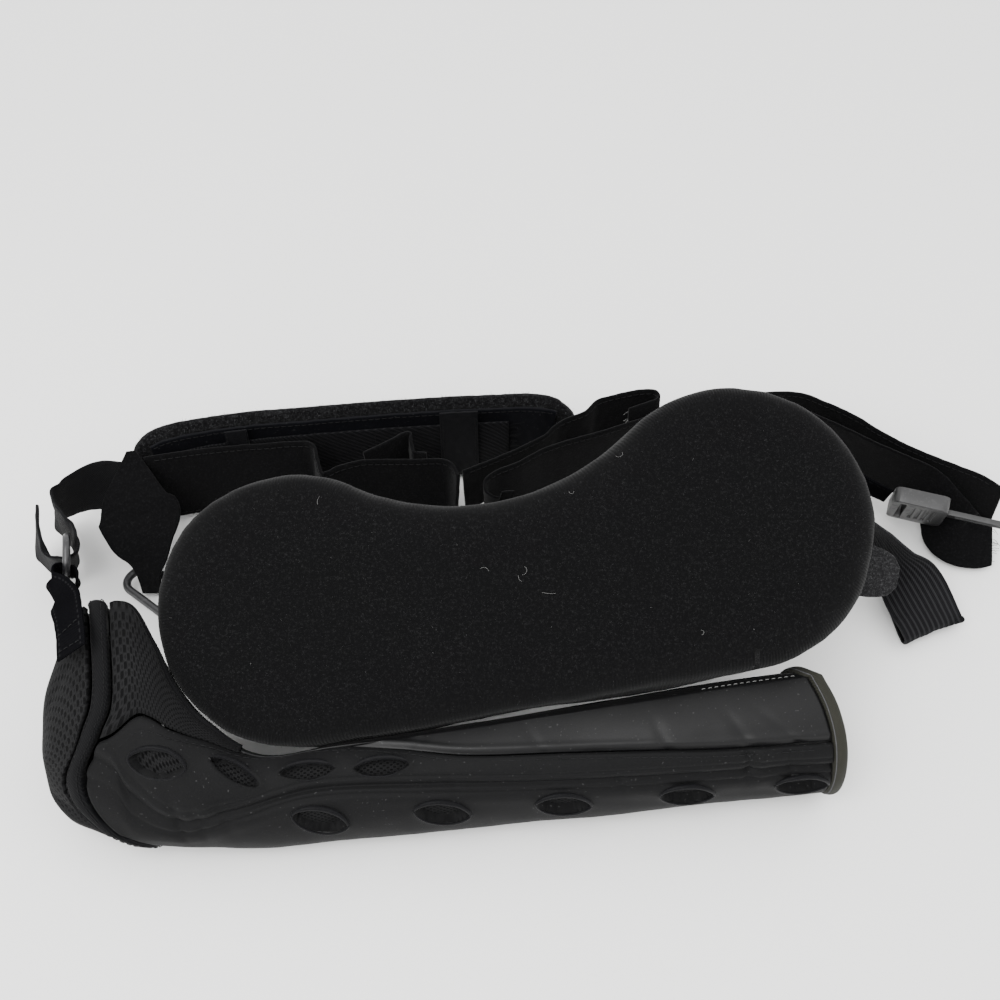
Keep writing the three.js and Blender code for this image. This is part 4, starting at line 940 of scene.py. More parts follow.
class Finishes:
    """Every material, made once."""

    def __init__(self) -> None:
        """Make them."""
        self.knit = Nap("knit_cover", ribs=True).make()
        self.fleece = Nap("fleece", tips=(0.038, 0.038, 0.04), grain=1500, amount=0.8, sheen=0.1).make()
        self.loop = Nap("loop_laminate", tips=(0.015, 0.015, 0.016), grain=2200, relief=0.25, sheen=0.03).make()
        self.tab = Nap("grey_loop", deep=(0.01, 0.01, 0.0105), tips=(0.07, 0.07, 0.072), amount=0.8).make()
        self.webbing = Weave("webbing", width=37, sewn=0.0).make()
        self.satin = Weave("satin_ribbon", width=17, pitch=(0.8, 0.7), slant=0.2, roughness=0.85, relief=0.1,
                           sewn=2.2, lit=(0.011, 0.011, 0.012), specular=0.0, sheen=0.0).make()
        self.keeper = Weave("satin_keeper", width=52, pitch=(0.8, 0.7), slant=0.2, roughness=0.45, relief=0.1,
                            lit=(0.016, 0.016, 0.018)).make()
        self.elastic = Weave("ribbed_elastic", width=36, pitch=(1.1, 1.0), grooves=12, relief=0.55,
                             lit=(0.03, 0.03, 0.032), sewn=0.0).make()
        self.mesh = SpacerMesh("spacer_mesh").make()
        self.lining = SpacerMesh("vent_mesh", cell=(3.0, 2.4), lit=(0.016, 0.016, 0.0165)).make()
        self.foam = Laminate("foam_laminate", roughness=0.62, lit=(0.0065, 0.0065, 0.0068)).make()
        self.smooth = Laminate("smooth_panel", roughness=0.42, deep=(0.0015, 0.0015, 0.0017),
                               lit=(0.004, 0.004, 0.0043), relief=0.1, specular=0.2).make()
        self.facing = Laminate("pad_facing", roughness=0.6, deep=(0.0015, 0.0015, 0.0021),
                               lit=(0.0045, 0.0047, 0.0065)).make()
        self.binding = Weave("stretch_binding", width=10, pitch=(0.9, 0.8), slant=0.3, roughness=0.6, relief=0.15,
                             lit=(0.012, 0.012, 0.012)).make()
        self.cuff = Weave("cuff_binding_cloth", width=12, pitch=(0.9, 0.8), slant=0.3, roughness=0.62, relief=0.15,
                          deep=(0.014, 0.014, 0.011), lit=(0.05, 0.049, 0.041)).make()
        # The bead lip's cloth is lighter than the foam's: a painted highlight along the vents' lips.
        self.lip = Weave("bead_lip_painted_highlight", width=10, pitch=(0.7, 0.7), slant=0.3, roughness=0.45, relief=0.08,
                         lit=(0.03, 0.03, 0.031)).make()
        self.plastic = Moulded("black_plastic").make()
        self.worn = Moulded("worn_plastic", deep=(0.009, 0.009, 0.0095), rubbed=(0.04, 0.04, 0.04),
                            roughness=0.34).make()
        self.thread = Yarn("black_thread").make()
        self.pale = Yarn("pale_thread", deep=(0.12, 0.12, 0.12), lit=(0.3, 0.3, 0.29)).make()
        self.dull = Yarn("grey_fluff", deep=(0.025, 0.025, 0.027), lit=(0.1, 0.1, 0.105)).make()
        self.paper = Paper("pale_sweep").make()


# Sleeve


@dataclass(frozen=True)
class SleeveSkin:
    """The sleeve's skin, read by a station along it and a girth round it."""

    length: float = 376.0
    reach: float = 100.0
    height: float = 94.0
    yaw: float = 5.5
    floor_bow: float = 2.3
    back_bow: float = 1.45
    stride: float = 0.02

    def _bare(self, station: Array, girth: Array) -> Array:
        """Points of the skin before the sleeve is turned."""
        at = {name: SECTIONS.at(name, station) for name in SECTIONS.columns}
        front, crown, back = (at[name] * self.reach for name in ("front", "crown", "back"))
        base, top = at["base"] * self.height, at["top"] * self.height
        belly = base + at["belly"] * (top - base)
        floor = front + 0.5 * (back - front)
        turned = np.mod(girth, 4)
        quarter = np.minimum(turned.astype(int), 3)
        angle = (turned - quarter) * math.pi / 2
        bow = np.choose(quarter, (at["bow"], self.floor_bow, self.floor_bow, self.back_bow))
        away = np.abs(np.sin(angle)) ** (2 / bow)
        along = np.abs(np.cos(angle)) ** (2 / bow)
        y = np.choose(quarter, (crown + (front - crown) * away, floor + (front - floor) * along,
                                floor + (back - floor) * away, crown + (back - crown) * along))
        z = np.choose(quarter, (belly + (top - belly) * along, belly + (base - belly) * away,
                                belly + (base - belly) * along, belly + (top - belly) * away))
        return np.stack([at["x"] * self.length, y, z], -1)

    def normal(self, station: Array, girth: Array) -> Array:
        """Directions out of the skin before the sleeve is turned."""
        before = np.maximum(station - self.stride, 0)
        after = np.minimum(station + self.stride, SECTIONS.last)
        along = self._bare(after, girth) - self._bare(before, girth)
        about = self._bare(station, girth + self.stride) - self._bare(station, girth - self.stride)
        return unit(np.cross(about, along))

    def turn(self, points: Array) -> Array:
        """Turn points or directions by the sleeve's yaw."""
        cosine, sine = math.cos(self.yaw * DEGREE), math.sin(self.yaw * DEGREE)
        x, y, z = np.moveaxis(points, -1, 0)
        return np.stack([x * cosine - y * sine, x * sine + y * cosine, z], -1)

    def point(self, x: float | Array, girth: float | Array, out: float | Array = 0.0) -> Array:
        """Points by x and girth, moved out from the skin.

        Args:
            x: Millimetres along the sleeve from its middle.
            girth: From 0 at the crown, 1 at the front, 2 below and 3 behind to 4.
            out: Millimetres out from the skin.

        Returns:
            The points, in layout millimetres.
        """
        x, girth, out = np.broadcast_arrays(*(np.asarray(v, float) for v in (x, girth, out)))
        station = SECTIONS.where("x", x / self.length)
        return self.turn(self._bare(station, girth) + self.normal(station, girth) * out[..., None])

    def elbow_x(self, girth: float | Array) -> Array:
        """Where the elbow's binding runs at a girth."""
        return ELBOW_SEAM.at("x", ELBOW_SEAM.where("girth", girth)) * self.length

    def cuff_x(self, girth: float | Array) -> Array:
        """Where the cuff ends at a girth."""
        return CUFF_EDGE.at("x", CUFF_EDGE.where("girth", girth)) * self.length

    def girth_at(self, rows: Table, x: float | Array) -> Array:
        """The girth of a seam at x."""
        return rows.at("girth", rows.where("x", x / self.length))


SKIN = SleeveSkin()


@dataclass(frozen=True)
class Vent:
    """One almond vent and its own axes."""

    x: float
    girth: float
    tilt: float
    length: float = 25.0
    width: float = 13.0
    depth: float = 4.3
    point: float = 1.6
    snap: float = 0.62

    def axes(self) -> tuple[Array, Array, Array, Array]:
        """Its centre, and its directions along, across and out."""
        place = self.x * SKIN.length
        centre = SKIN.point(place, self.girth)
        out = unit(SKIN.point(place, self.girth, 1) - centre)
        ahead = SKIN.point(place + 2, self.girth) - centre
        ahead = unit(ahead - out * (ahead @ out))
        side = np.cross(out, ahead)
        turn = self.tilt * DEGREE
        cosine, sine = math.cos(turn), math.sin(turn)
        return centre, ahead * cosine + side * sine, side * cosine - ahead * sine, out

    def share(self, u: Array, v: Array) -> Array:
        """1 on the rim, less inside and more outside."""
        return (2 * u / self.length) ** 2 + np.abs(2 * v / self.width) ** self.point

    def rim(self, count: int, grow: float = 0.0) -> Array:
        """Points round the rim, in the sleeve's layout."""
        centre, ahead, side, _ = self.axes()
        angle = np.linspace(0, 2 * math.pi, count, endpoint=False)
        u = (self.length / 2 + grow) * np.cos(angle)
        v = (self.width / 2 + grow) * np.sin(angle) * np.abs(np.sin(angle)) ** 0.25
        return centre + u[:, None] * ahead + v[:, None] * side

    def press(self, points: Array, kinds_at: Array) -> tuple[Array, Array]:
        """Sink the skin inside the rim.

        Args:
            points: The skin's points.
            kinds_at: 1 where an earlier vent has its floor.

        Returns:
            The points with the vent pressed in, and the floor's marks with its own added.
        """
        centre, ahead, side, out = self.axes()
        away = points - centre
        near = np.linalg.norm(away, axis=-1) < self.length * 0.75
        u, v = away @ ahead, away @ side
        share = self.share(u, v)
        rise = 8 * u / self.length ** 2
        spread = self.point * np.abs(v) ** (self.point - 1) / (self.width / 2) ** self.point
        gap = (share - 1) / np.maximum(np.hypot(rise, spread), 0.05)
        snap = near & (np.abs(gap) < self.snap)
        pull = -gap[..., None] * unit(ahead * rise[..., None] + side * (np.sign(v) * spread)[..., None])
        points = np.where(snap[..., None], points + pull, points)
        inside = near & ~snap & (share < 1)
        lip = np.where(near & ~inside, bump_at(np.maximum(gap, 0), 1.6) * 0.7, 0)
        sunk = np.where(inside, -self.depth + 0.5 * bump_at(share, 0.5), 0)
        return points + (lip + sunk)[..., None] * out, np.where(inside, 1, kinds_at)


@dataclass(frozen=True)
class Sleeve:
    """The forearm's sleeve, panel by panel."""

    foam: float = 5.0
    cloth: float = 2.6
    mesh: float = 3.0
    proud: float = 1.2
    seam_gap: float = 1.8
    girth_gap: float = 0.005
    front_hem: float = -0.3
    back_hem: float = 3.42
    foam_end: float = 1.8
    smooth_start: float = -0.31
    groove_depth: float = 1.9
    girth_span: float = 55.0
    slit_width: float = 7.5
    hole_width: float = 13.0
    first_vent: float = -0.4
    first_turn: float = 52.0
    crease_at: float = 0.298
    foam_folds: tuple[tuple[float, float], ...] = (
        (-0.39, 1.2), (-0.365, 0.8), (-0.335, 1.0), (-0.06, 0.5), (0.14, 0.5), (0.35, 0.8))
    front_folds: tuple[tuple[float, float, float], ...] = (
        (0.3, 30, 0.9), (0.36, 55, 0.8), (0.2, 18, 0.5), (0.05, 24, 0.4), (-0.1, -20, 0.5))

    def start(self, girth: Array) -> Array:
        """The panels' left edge."""
        return SKIN.elbow_x(girth) + 4 + self.seam_gap

    def end(self, girth: Array) -> Array:
        """The panels' right edge."""
        return SKIN.cuff_x(girth) - 7.3

    def patch(self, rows: int, columns: int,
              place: Callable[[Array, Array, Array], tuple[Array, Array]]) -> tuple[Array, ...]:
        """Both shares, x and girth of a patch, settled together as each depends on the other."""
        t, s = np.meshgrid(np.linspace(0, 1, rows + 1), np.linspace(0, 1, columns + 1), indexing="ij")
        girth = np.ones_like(s)
        for _ in range(8):
            x, girth = place(s, t, girth)
        return s, t, x, girth

    def _foam_place(self, s: Array, t: Array, girth: Array) -> tuple[Array, Array]:
        """The foam's place, closer together at its pressed groove."""
        x = self.start(girth) + 1.08 + (self.end(girth) - self.start(girth) - 1.08) * s
        top = SKIN.girth_at(PANEL_SEAM, x) + self.girth_gap
        pressed = np.maximum(SKIN.girth_at(GROOVE, x), top + 0.1)
        share = 0.36
        upper = top + (pressed - top) * np.clip(t / share, 0, 1)
        lower = pressed + (self.foam_end - pressed) * np.clip((t - share) / (1 - share), 0, 1)
        return x, np.where(t < share, upper, lower)

    def build_foam(self, finishes: Finishes) -> None:
        """The foam shell with its groove, creases and vents, and the mesh behind them."""
        s, t, x, girth = self.patch(112, 250, self._foam_place)
        pressed = SKIN.girth_at(GROOVE, x)
        top = SKIN.girth_at(PANEL_SEAM, x)
        skin = SKIN.point(x, girth)
        puff = 1.1 * np.sin(math.pi * np.clip((girth - top) / np.maximum(pressed - top, 0.05), 0, 1)) ** 0.7
        out = puff - self.groove_depth * bump_at(girth - pressed, 0.03)
        out += 0.5 * bump_at(girth - pressed - 0.16, 0.07) - 0.9 * bump_at(girth - pressed - 0.085, 0.016)
        out -= 0.5 * bump_at(girth - pressed + 0.085, 0.014)
        past = x - self.crease_at * SKIN.length
        crease = bump_at(past, 2.4) * step(pressed + 0.25, pressed - 0.02, girth)
        out -= 1.7 * crease - 0.7 * bump_at(past - 6, 3.5) * step(pressed + 0.25, pressed, girth)
        for share, deep in self.foam_folds:
            fold = bump_at(x - share * SKIN.length - 14 * (girth - pressed), 2.2)
            out -= deep * fold * bump_at(girth - pressed, 0.16)
        out += 0.4 * ripple(skin, 55, 3) + 0.14 * ripple(skin, 15, 4)
        out -= 0.8 * np.maximum(bump_at(t, 0.012), bump_at(1 - t, 0.01))
        outer = SKIN.point(x, girth, out)
        floor = np.zeros(outer.shape[:2])
        lips = []
        for place, about, tilt in VENTS.rows:
            turn = self.first_turn if place < self.first_vent else 0.0
            vent = Vent(place, about, tilt + turn, width=self.hole_width if about > 0.5 else self.slit_width)
            outer, floor = vent.press(outer, floor)
            rim = vent.rim(56, 0.55)
            drop = self._nearest(outer, rim)
            upper = np.maximum(np.sin(np.linspace(0, 2 * math.pi, 56, endpoint=False)), 0)
            lips.append(tube(rim + vent.axes()[3] * (drop + 0.25)[:, None], 0.6 + 0.75 * upper, 8, True))
        uvs = np.stack([x, girth * self.girth_span], -1) * MM
        corners = floor[:-1, :-1] + floor[1:, :-1] + floor[:-1, 1:] + floor[1:, 1:]
        faces_floor = (corners == 4).ravel().astype(int)
        piece = shell("foam_shell", outer, SKIN.point(x, girth, -self.foam), uvs, kinds=faces_floor)
        dress(piece, "foam", (finishes.foam, finishes.lining), "sleeve_foam_shell")
        # The vent lips wear the lightened bead cloth, a painted highlight.
        dress(join_parts("vent_lips", lips), "foam", finishes.lip)
        s, t, x, girth = self.patch(24, 60, self._foam_place)
        inner = SKIN.point(x, girth, -self.foam - 2)
        uvs = np.stack([x, girth * self.girth_span], -1) * MM
        piece = shell("mesh_lining", inner, SKIN.point(x, girth, -self.foam - 3.2), uvs)
        dress(piece, "mesh", finishes.lining, "sleeve_mesh_lining")

    def _nearest(self, grid: Array, points: Array) -> Array:
        """How far the grid lies out beyond each point, along the skin's normal, roughly."""
        flat = grid.reshape(-1, 3)
        gaps = []
        for point in points:
            k = np.argmin(np.sum((flat - point) ** 2, -1))
            gaps.append(min(float(np.linalg.norm(flat[k] - point)) * 0.3, 0.5))
        return np.array(gaps)

    def build_panels(self, finishes: Finishes) -> None:
        """The smooth front panel, the mesh round the elbow and the back."""
        smooth = self.smooth_start * SKIN.length

        def front(s: Array, t: Array, girth: Array) -> tuple[Array, Array]:
            """The front panel's place."""
            x = smooth + (self.end(girth) - smooth) * s
            return x, self.front_hem + (SKIN.girth_at(PANEL_SEAM, x) - self.girth_gap - self.front_hem) * t

        s, t, x, girth = self.patch(60, 200, front)
        skin = SKIN.point(x, girth)
        out = -0.25 + 0.5 * ripple(skin, 70, 8) * step(-0.05, 0.2, girth) + 0.1 * ripple(skin, 18, 9)
        edge = SKIN.girth_at(PANEL_SEAM, x) - girth
        out -= 0.9 * bump_at(edge - self.girth_gap, 0.03) - 0.5 * bump_at(edge - 0.07, 0.03)
        for share, lean, deep in self.front_folds:
            out -= deep * bump_at(x - share * SKIN.length + lean * edge, 2.6) * bump_at(edge, 0.24)
        uvs = np.stack([x, girth * self.girth_span], -1) * MM
        piece = shell("front_panel", SKIN.point(x, girth, out), SKIN.point(x, girth, -self.cloth), uvs)
        dress(piece, "neoprene", finishes.smooth, "sleeve_front_panel")

        rim = 7 / 60

        def mesh(s: Array, t: Array, girth: Array) -> tuple[Array, Array]:
            """The mesh panel's place."""
            x = self.start(girth) + (smooth - CLEARANCE - self.start(girth)) * s
            low = self.front_hem + rim
            return x, low + (SKIN.girth_at(PANEL_SEAM, x) - self.girth_gap - low) * t

        s, t, x, girth = self.patch(60, 60, mesh)
        skin = SKIN.point(x, girth)
        out = 0.5 * ripple(skin, 32, 12) - 0.3 - 0.8 * np.maximum(bump_at(s, 0.03), bump_at(1 - t, 0.02))
        piece = shell("elbow_mesh_panel", SKIN.point(x, girth, out), SKIN.point(x, girth, -self.mesh),
                      cloth_uv(skin))
        dress(piece, "mesh", finishes.mesh, "elbow_mesh_panel")

        def rim_place(s: Array, t: Array, girth: Array) -> tuple[Array, Array]:
            """The rim binding's place."""
            girth = self.front_hem + (rim - self.girth_gap) * t
            return self.start(girth) + (smooth - CLEARANCE - self.start(girth)) * s, girth

        s, t, x, girth = self.patch(12, 90, rim_place)
        bow = np.sqrt(np.maximum(1 - (2 * t - 1) ** 2, 0.02))
        skin = SKIN.point(x, girth)
        out = self.proud * bow + 0.2 * ripple(skin, 20, 14)
        piece = shell("elbow_rim_binding", SKIN.point(x, girth, out),
                      SKIN.point(x, girth, -self.mesh - self.proud * bow), cloth_uv(skin))
        dress(piece, "binding", finishes.binding, "elbow_rim_binding")

        def back(s: Array, t: Array, girth: Array) -> tuple[Array, Array]:
            """The back panel's place."""
            girth = self.foam_end + self.girth_gap + (self.back_hem - self.foam_end - self.girth_gap) * t
            return self.start(girth) + (self.end(girth) - self.start(girth)) * s, girth

        s, t, x, girth = self.patch(50, 110, back)
        skin = SKIN.point(x, girth)
        out = 0.5 * ripple(skin, 60, 16) - 0.6 * np.maximum(bump_at(t, 0.02), bump_at(1 - t, 0.02))
        out = np.where(girth < 2.6, np.minimum(out, 0), out)
        piece = shell("back_panel", SKIN.point(x, girth, out), SKIN.point(x, girth, -self.cloth),
                      cloth_uv(skin))
        dress(piece, "neoprene", finishes.smooth, "sleeve_back_panel")

    def _round(self, rows: int, count: int) -> tuple[Array, Array]:
        """A grid of shares along the sleeve and girths all the way round it."""
        along, girths = np.linspace(0, 1, rows + 1), np.arange(count) * 4 / count
        r, c = np.meshgrid(along, girths, indexing="ij")
        return r, c

    def _band(self, name: str, left: Callable, right: Callable, outer: float, inner: float, rows: int,
              seed: int) -> bpy.types.Object:
        """A rolled binding that closes round the sleeve."""
        r, c = self._round(rows, 240)
        x = left(c) + (right(c) - left(c)) * r
        bow = np.sqrt(np.maximum(1 - (2 * r - 1) ** 2, 0.03))
        skin = SKIN.point(x, c)
        out = -0.7 + (outer + 0.7) * bow + 0.12 * ripple(skin, 14, seed)
        lower = step(1.5, 1.9, c) * step(2.5, 2.1, c)
        out = np.where(lower > 0, np.minimum(out, outer), out)
        uvs = np.stack([np.broadcast_to(c * self.girth_span, r.shape), x], -1) * MM
        return shell(name, SKIN.point(x, c, out), SKIN.point(x, c, inner), uvs, loops=True)

    def build_ends(self, finishes: Finishes) -> None:
        """The elbow's bowl of mesh and the bindings round both ends."""
        r, c = self._round(44, 220)
        final = SECTIONS.where("x", (SKIN.elbow_x(c) - 5.8) / SKIN.length)
        share = np.maximum((r - 0.1) / 0.9, 0)
        station = 0.15 + (final - 0.15) * share
        x = SECTIONS.at("x", station) * SKIN.length
        front = step(-0.6, 0.1, c - 0.1) * step(1.75, 1.3, c)
        pleat = np.abs(np.sin((c - 0.25) * 3.6 * math.pi / 1.1)) ** 0.6
        out = -1.5 * (1 - pleat) * step(0.25, 0.8, share) * front * step(1.0, 0.97, share)
        out += 0.4 * ripple(SKIN.point(x, c), 26, 18)
        nose = SKIN.turn(np.array([-0.559 * SKIN.length, 25.0, 31.0]))
        skins = []
        for offset, inset in ((out, 0.0), (-self.mesh, self.mesh)):
            ring = SKIN.point(x, c, offset)
            tip = nose + SKIN.turn(np.array([inset, 0.0, 0.0]))
            shrink = np.clip(r / 0.1, 0.02, 1)[..., None]
            skins.append(tip + (ring - tip) * shrink)
        uvs = np.stack([x, np.broadcast_to(c * 50, x.shape)], -1) * MM
        piece = shell("elbow_end_mesh", skins[0], skins[1], uvs, loops=True)
        dress(piece, "mesh", finishes.mesh, "elbow_end_mesh")
        piece = self._band("elbow_binding", lambda g: SKIN.elbow_x(g) - 3.5, lambda g: SKIN.elbow_x(g) + 4,
                           self.proud, -self.mesh - self.proud, 12, 20)
        dress(piece, "binding", finishes.binding, "elbow_binding")
        piece = self._band("cuff_binding", lambda g: SKIN.cuff_x(g) - 6.5, SKIN.cuff_x, 1.6, -8.2, 14, 21)
        dress(piece, "binding", finishes.cuff, "cuff_binding")

    def build_seams(self, finishes: Finishes) -> None:
        """The sewing along the panels, the bindings and the cuff."""
        dark, pale = [], []
        x = np.linspace(-0.45, 0.385, 300) * SKIN.length
        seam = SKIN.girth_at(PANEL_SEAM, x) + 0.05
        line = SKIN.point(x, seam, 0.75)
        dark += stitches(line, unit(SKIN.point(x, seam, 1.75) - line), 3.0, 1.0, 0.26)
        girth = np.linspace(-0.25, 1.75, 160)
        for shift in (2.6, -2.4):
            beside = SKIN.elbow_x(girth) + shift
            line = SKIN.point(beside, girth, 0.95)
            dark += stitches(line, unit(SKIN.point(beside, girth, 2) - line), 2.4, 1.0, 0.22)
        girth = np.linspace(-0.9, 1.6, 160)
        line = SKIN.point(SKIN.cuff_x(girth) - 5.6, girth, 0.9)
        dress(join_parts("cuff_cord", [tube(line, 0.26, 6)]), "binding", finishes.dull)
        x = np.linspace(0.25, 0.372, 90) * SKIN.length
        line = SKIN.point(x, -0.1, 0.25)
        pale += stitches(line, unit(SKIN.point(x, -0.1, 1.2) - line), 1.6, 1.4, 0.13)
        dress(join_parts("dark_stitches", dark), "binding", finishes.thread)
        dress(join_parts("pale_stitches", pale), "binding", finishes.pale)

    def build(self, finishes: Finishes) -> None:
        """Make the whole sleeve."""
        self.build_foam(finishes)
        self.build_panels(finishes)
        self.build_ends(finishes)
        self.build_seams(finishes)


# Pillow


@dataclass(frozen=True)
class Pillow:
    """The kidney-shaped pillow in its knitted cover, made in its own frame and then leaned."""

    spacing: float = 207.5
    lobes: tuple[float, float] = (64.5, 67.5)
    dip: float = 125.0
    thickness: float = 66.0
    edge: float = 12.0
    swell: float = 2.5
    lean: float = 33.0
    turn: float = 10.5
    middle: tuple[float, float, float] = (7.4, 65.5, 98.9)
    shift: tuple[float, float] = (0.9, 1.2)
    grown: float = 0.6
    voxel: float = 5.0
    pressure: float = 4.0
    frames: int = 20
    fuzz: int = 6500
    lint: int = 170
    hairs: int = 12

    def outline(self, inset: float) -> Array:
        """Points round the cover's outline, anticlockwise, moved in by an inset."""
        left, right = -self.spacing / 2, self.spacing / 2
        small, large = self.lobes
        reach = (small + self.dip, large + self.dip)
        dip_x = (reach[0] ** 2 - reach[1] ** 2) / (2 * self.spacing)
        dip_y = math.sqrt(reach[0] ** 2 - (dip_x - left) ** 2)
        base = -math.acos((small - large) / self.spacing)
        to_left, to_right = math.atan2(dip_y, dip_x - left), math.atan2(dip_y, dip_x - right)

        def arc(x: float, y: float, radius: float, first: float, last: float, count: int) -> Array:
            """Points along an arc."""
            a = np.linspace(first, last, count)
            return np.stack([x + radius * np.cos(a), y + radius * np.sin(a)], -1)

        runs = [
            arc(right, 0, large - inset, base, to_right, 90),
            arc(dip_x, dip_y, self.dip + inset, to_right - math.pi, to_left - math.pi, 50)[1:-1],
            arc(left, 0, small - inset, to_left, base + 2 * math.pi, 90),
        ]
        share = np.linspace(0, 1, 60)[1:-1, None]
        runs.append(runs[2][-1] + (runs[0][0] - runs[2][-1]) * share)
        return np.concatenate(runs)

    def _block(self) -> bpy.types.Object:
        """A rounded block of even faces, in the cover's outline before it is stuffed."""
        turns = np.linspace(-math.pi / 2, math.pi / 2, 15)
        half = self.thickness / 2 + self.grown
        rings = []
        for a in turns:
            ring = self.outline(-self.grown + self.edge * (1 - math.cos(a)))
            height = math.copysign(half - self.edge, a) * (abs(a) > 1e-6) + self.edge * math.sin(a)
            rings.append(np.column_stack([ring, np.full(len(ring), height)]))
        grid = np.array(rings) * MM
        rows, count = grid.shape[:2]
        faces = [tuple(f) for f in grid_faces(rows, count, 0, True)[:, ::-1].tolist()]
        faces += [tuple(range(count)), tuple(range((rows - 1) * count, rows * count))[::-1]]
        mesh = bpy.data.meshes.new("pillow_block")
        mesh.from_pydata(grid.reshape(-1, 3).tolist(), [], faces)
        block = bpy.data.objects.new("pillow_block", mesh)
        bpy.context.scene.collection.objects.link(block)
        work = bmesh.new()
        work.from_mesh(mesh)
        bmesh.ops.triangulate(work, faces=work.faces)
        bmesh.ops.recalc_face_normals(work, faces=work.faces)
        work.to_mesh(mesh)
        work.free()
        remesh = block.modifiers.new("remesh", "REMESH")
        remesh.mode = "VOXEL"
        remesh.voxel_size = self.voxel * MM
        self._bake(block)
        return block

    def _bake(self, piece: bpy.types.Object) -> None:
        """Apply every modifier of a piece."""
        shown = piece.evaluated_get(bpy.context.evaluated_depsgraph_get())
        mesh = bpy.data.meshes.new_from_object(shown)
        piece.modifiers.clear()
        piece.data = mesh

    def _coordinates(self, mesh: bpy.types.Mesh) -> Array:
        """A mesh's points."""
        flat = np.empty(len(mesh.vertices) * 3)
        mesh.vertices.foreach_get("co", flat)
        return flat.reshape(-1, 3)

    def _stuff(self, block: bpy.types.Object) -> None:
        """Blow the cover up against its seams."""
        before = self._coordinates(block.data)
        cloth = block.modifiers.new("cloth", "CLOTH")
        cloth.settings.use_pressure = True
        cloth.settings.uniform_pressure_force = self.pressure
        cloth.settings.effector_weights.gravity = 0
        cloth.settings.quality = 4
        cloth.point_cache.frame_end = self.frames
        for number in range(1, self.frames + 1):
            bpy.context.scene.frame_set(number)
        self._bake(block)
        after = self._coordinates(block.data)
        move = after - before
        size = np.linalg.norm(move, axis=-1, keepdims=True)
        cap = self.swell * MM
        move *= np.tanh(size / cap) * cap / np.maximum(size, 1e-9)
        block.data.vertices.foreach_set("co", (before + move).ravel())
        bpy.context.scene.frame_set(1)

    def build(self, finishes: Finishes) -> bpy.types.Object:
        """Make the stuffed cover, its fuzz and its lint."""
        block = self._block()
        self._stuff(block)
        relax = block.modifiers.new("relax", "SMOOTH")
        relax.iterations, relax.factor = 3, 0.5
        block.modifiers.new("finer", "SUBSURF").levels = 1
        self._bake(block)
        local = self._coordinates(block.data) / MM - (*self.shift, self.thickness / 2)
        rim = self.outline(-2)
        sides = np.linalg.norm(np.diff(rim, axis=0, append=rim[:1]), axis=-1)
        run = np.concatenate([[0], np.cumsum(sides)])[:-1]
        gaps = np.linalg.norm(local[:, None, :2] - rim[None], axis=-1)
        nearest = np.argmin(gaps, 1)
        edge = gaps[np.arange(len(local)), nearest]
        around = self._along(local[:, :2], rim, run, nearest)
        soft = np.clip(ripple(local, 70, 31) * 0.6 + ripple(local, 26, 32) * 0.25, -1.2, 0.5)
        normals = np.empty(len(local) * 3)
        block.data.vertices.foreach_get("normal", normals)
        local = local + normals.reshape(-1, 3) * soft[:, None]
        x, y, z = local.T
        cosine, sine = math.cos(self.turn * DEGREE), math.sin(self.turn * DEGREE)
        x, y = x * cosine - y * sine, x * sine + y * cosine
        cosine, sine = math.cos(self.lean * DEGREE), math.sin(self.lean * DEGREE)
        leaned = np.stack([x, y * cosine - z * sine, y * sine + z * cosine], -1) + self.middle
        mesh = block.data
        mesh.name = "pillow"
        mesh.vertices.foreach_set("co", LAYOUT.world(leaned).ravel())
        notes = {"around": around * MM, "rim": 1 - step(5, 15, edge)}
        for name, values in notes.items():
            mesh.attributes.new(name, "FLOAT", "POINT").data.foreach_set("value", values)
        mesh.polygons.foreach_set("use_smooth", np.ones(len(mesh.polygons), bool))
        mesh.update()
        block.name = "pillow_cover"
        dress(block, "pillow", finishes.knit, "pillow")
        self._dust(block, finishes)
        return block

    def _along(self, points: Array, rim: Array, run: Array, nearest: Array) -> Array:
        """How far along the outline each point lies."""
        ahead = unit(np.roll(rim, -1, 0) - np.roll(rim, 1, 0))
        return run[nearest] + np.sum((points - rim[nearest]) * ahead[nearest], -1)

    def _dust(self, cover: bpy.types.Object, finishes: Finishes) -> None:
        """Fuzz on the knit, lint and a few hairs."""
        fuzz = fibres("pillow_fuzz", cover, self.fuzz, (0.4, 1.1), 0.04, 0.4, 41)
        dress(fuzz, "pillow", finishes.dull)
        lint = fibres("pillow_lint", cover, self.lint, (0.4, 1.5), 0.08, 0.08, 42, self._seen)
        dress(lint, "pillow", finishes.pale)
        hairs = self._hairs(cover, self.hairs, 43)
        dress(hairs, "pillow", finishes.pale)

    def _seen(self, root: Array, normal: Array) -> Array:
        """Whether a place faces the front or the top."""
        return (normal[:, 2] > 0.1) | (normal[:, 1] < -0.3)

    def _hairs(self, cover: bpy.types.Object, count: int, seed: int) -> bpy.types.Object:
        """Long curled hairs that cling to the knit."""
        chance = np.random.default_rng(seed)
        tree = BVHTree.FromObject(cover, bpy.context.evaluated_depsgraph_get())
        parts = []
        for _ in range(count):
            start = np.array([chance.uniform(-0.17, 0.16), chance.uniform(-0.11, 0.02), 0.2])
            heading = chance.uniform(0, 2 * math.pi)
            bend = chance.uniform(-0.5, 0.5)
            pace = chance.uniform(0.3, 0.8) * MM
            line = []
            for _ in range(9):
                spot = tree.ray_cast(Vector(start), Vector((0, 0, -1)))
                if spot[0] is None:
                    break
                line.append(np.array(spot[0] + spot[1] * 0.00018))
                heading += bend + chance.uniform(-0.2, 0.2)
                start = start + np.array([math.cos(heading), math.sin(heading), 0]) * pace
            if len(line) > 3:
                parts.append(tube(np.array(line) / MM, 0.05, 4))
        shift = LAYOUT.world(np.zeros(3)) / MM
        return join_parts("pillow_hairs", [(points - shift, faces) for points, faces in parts])


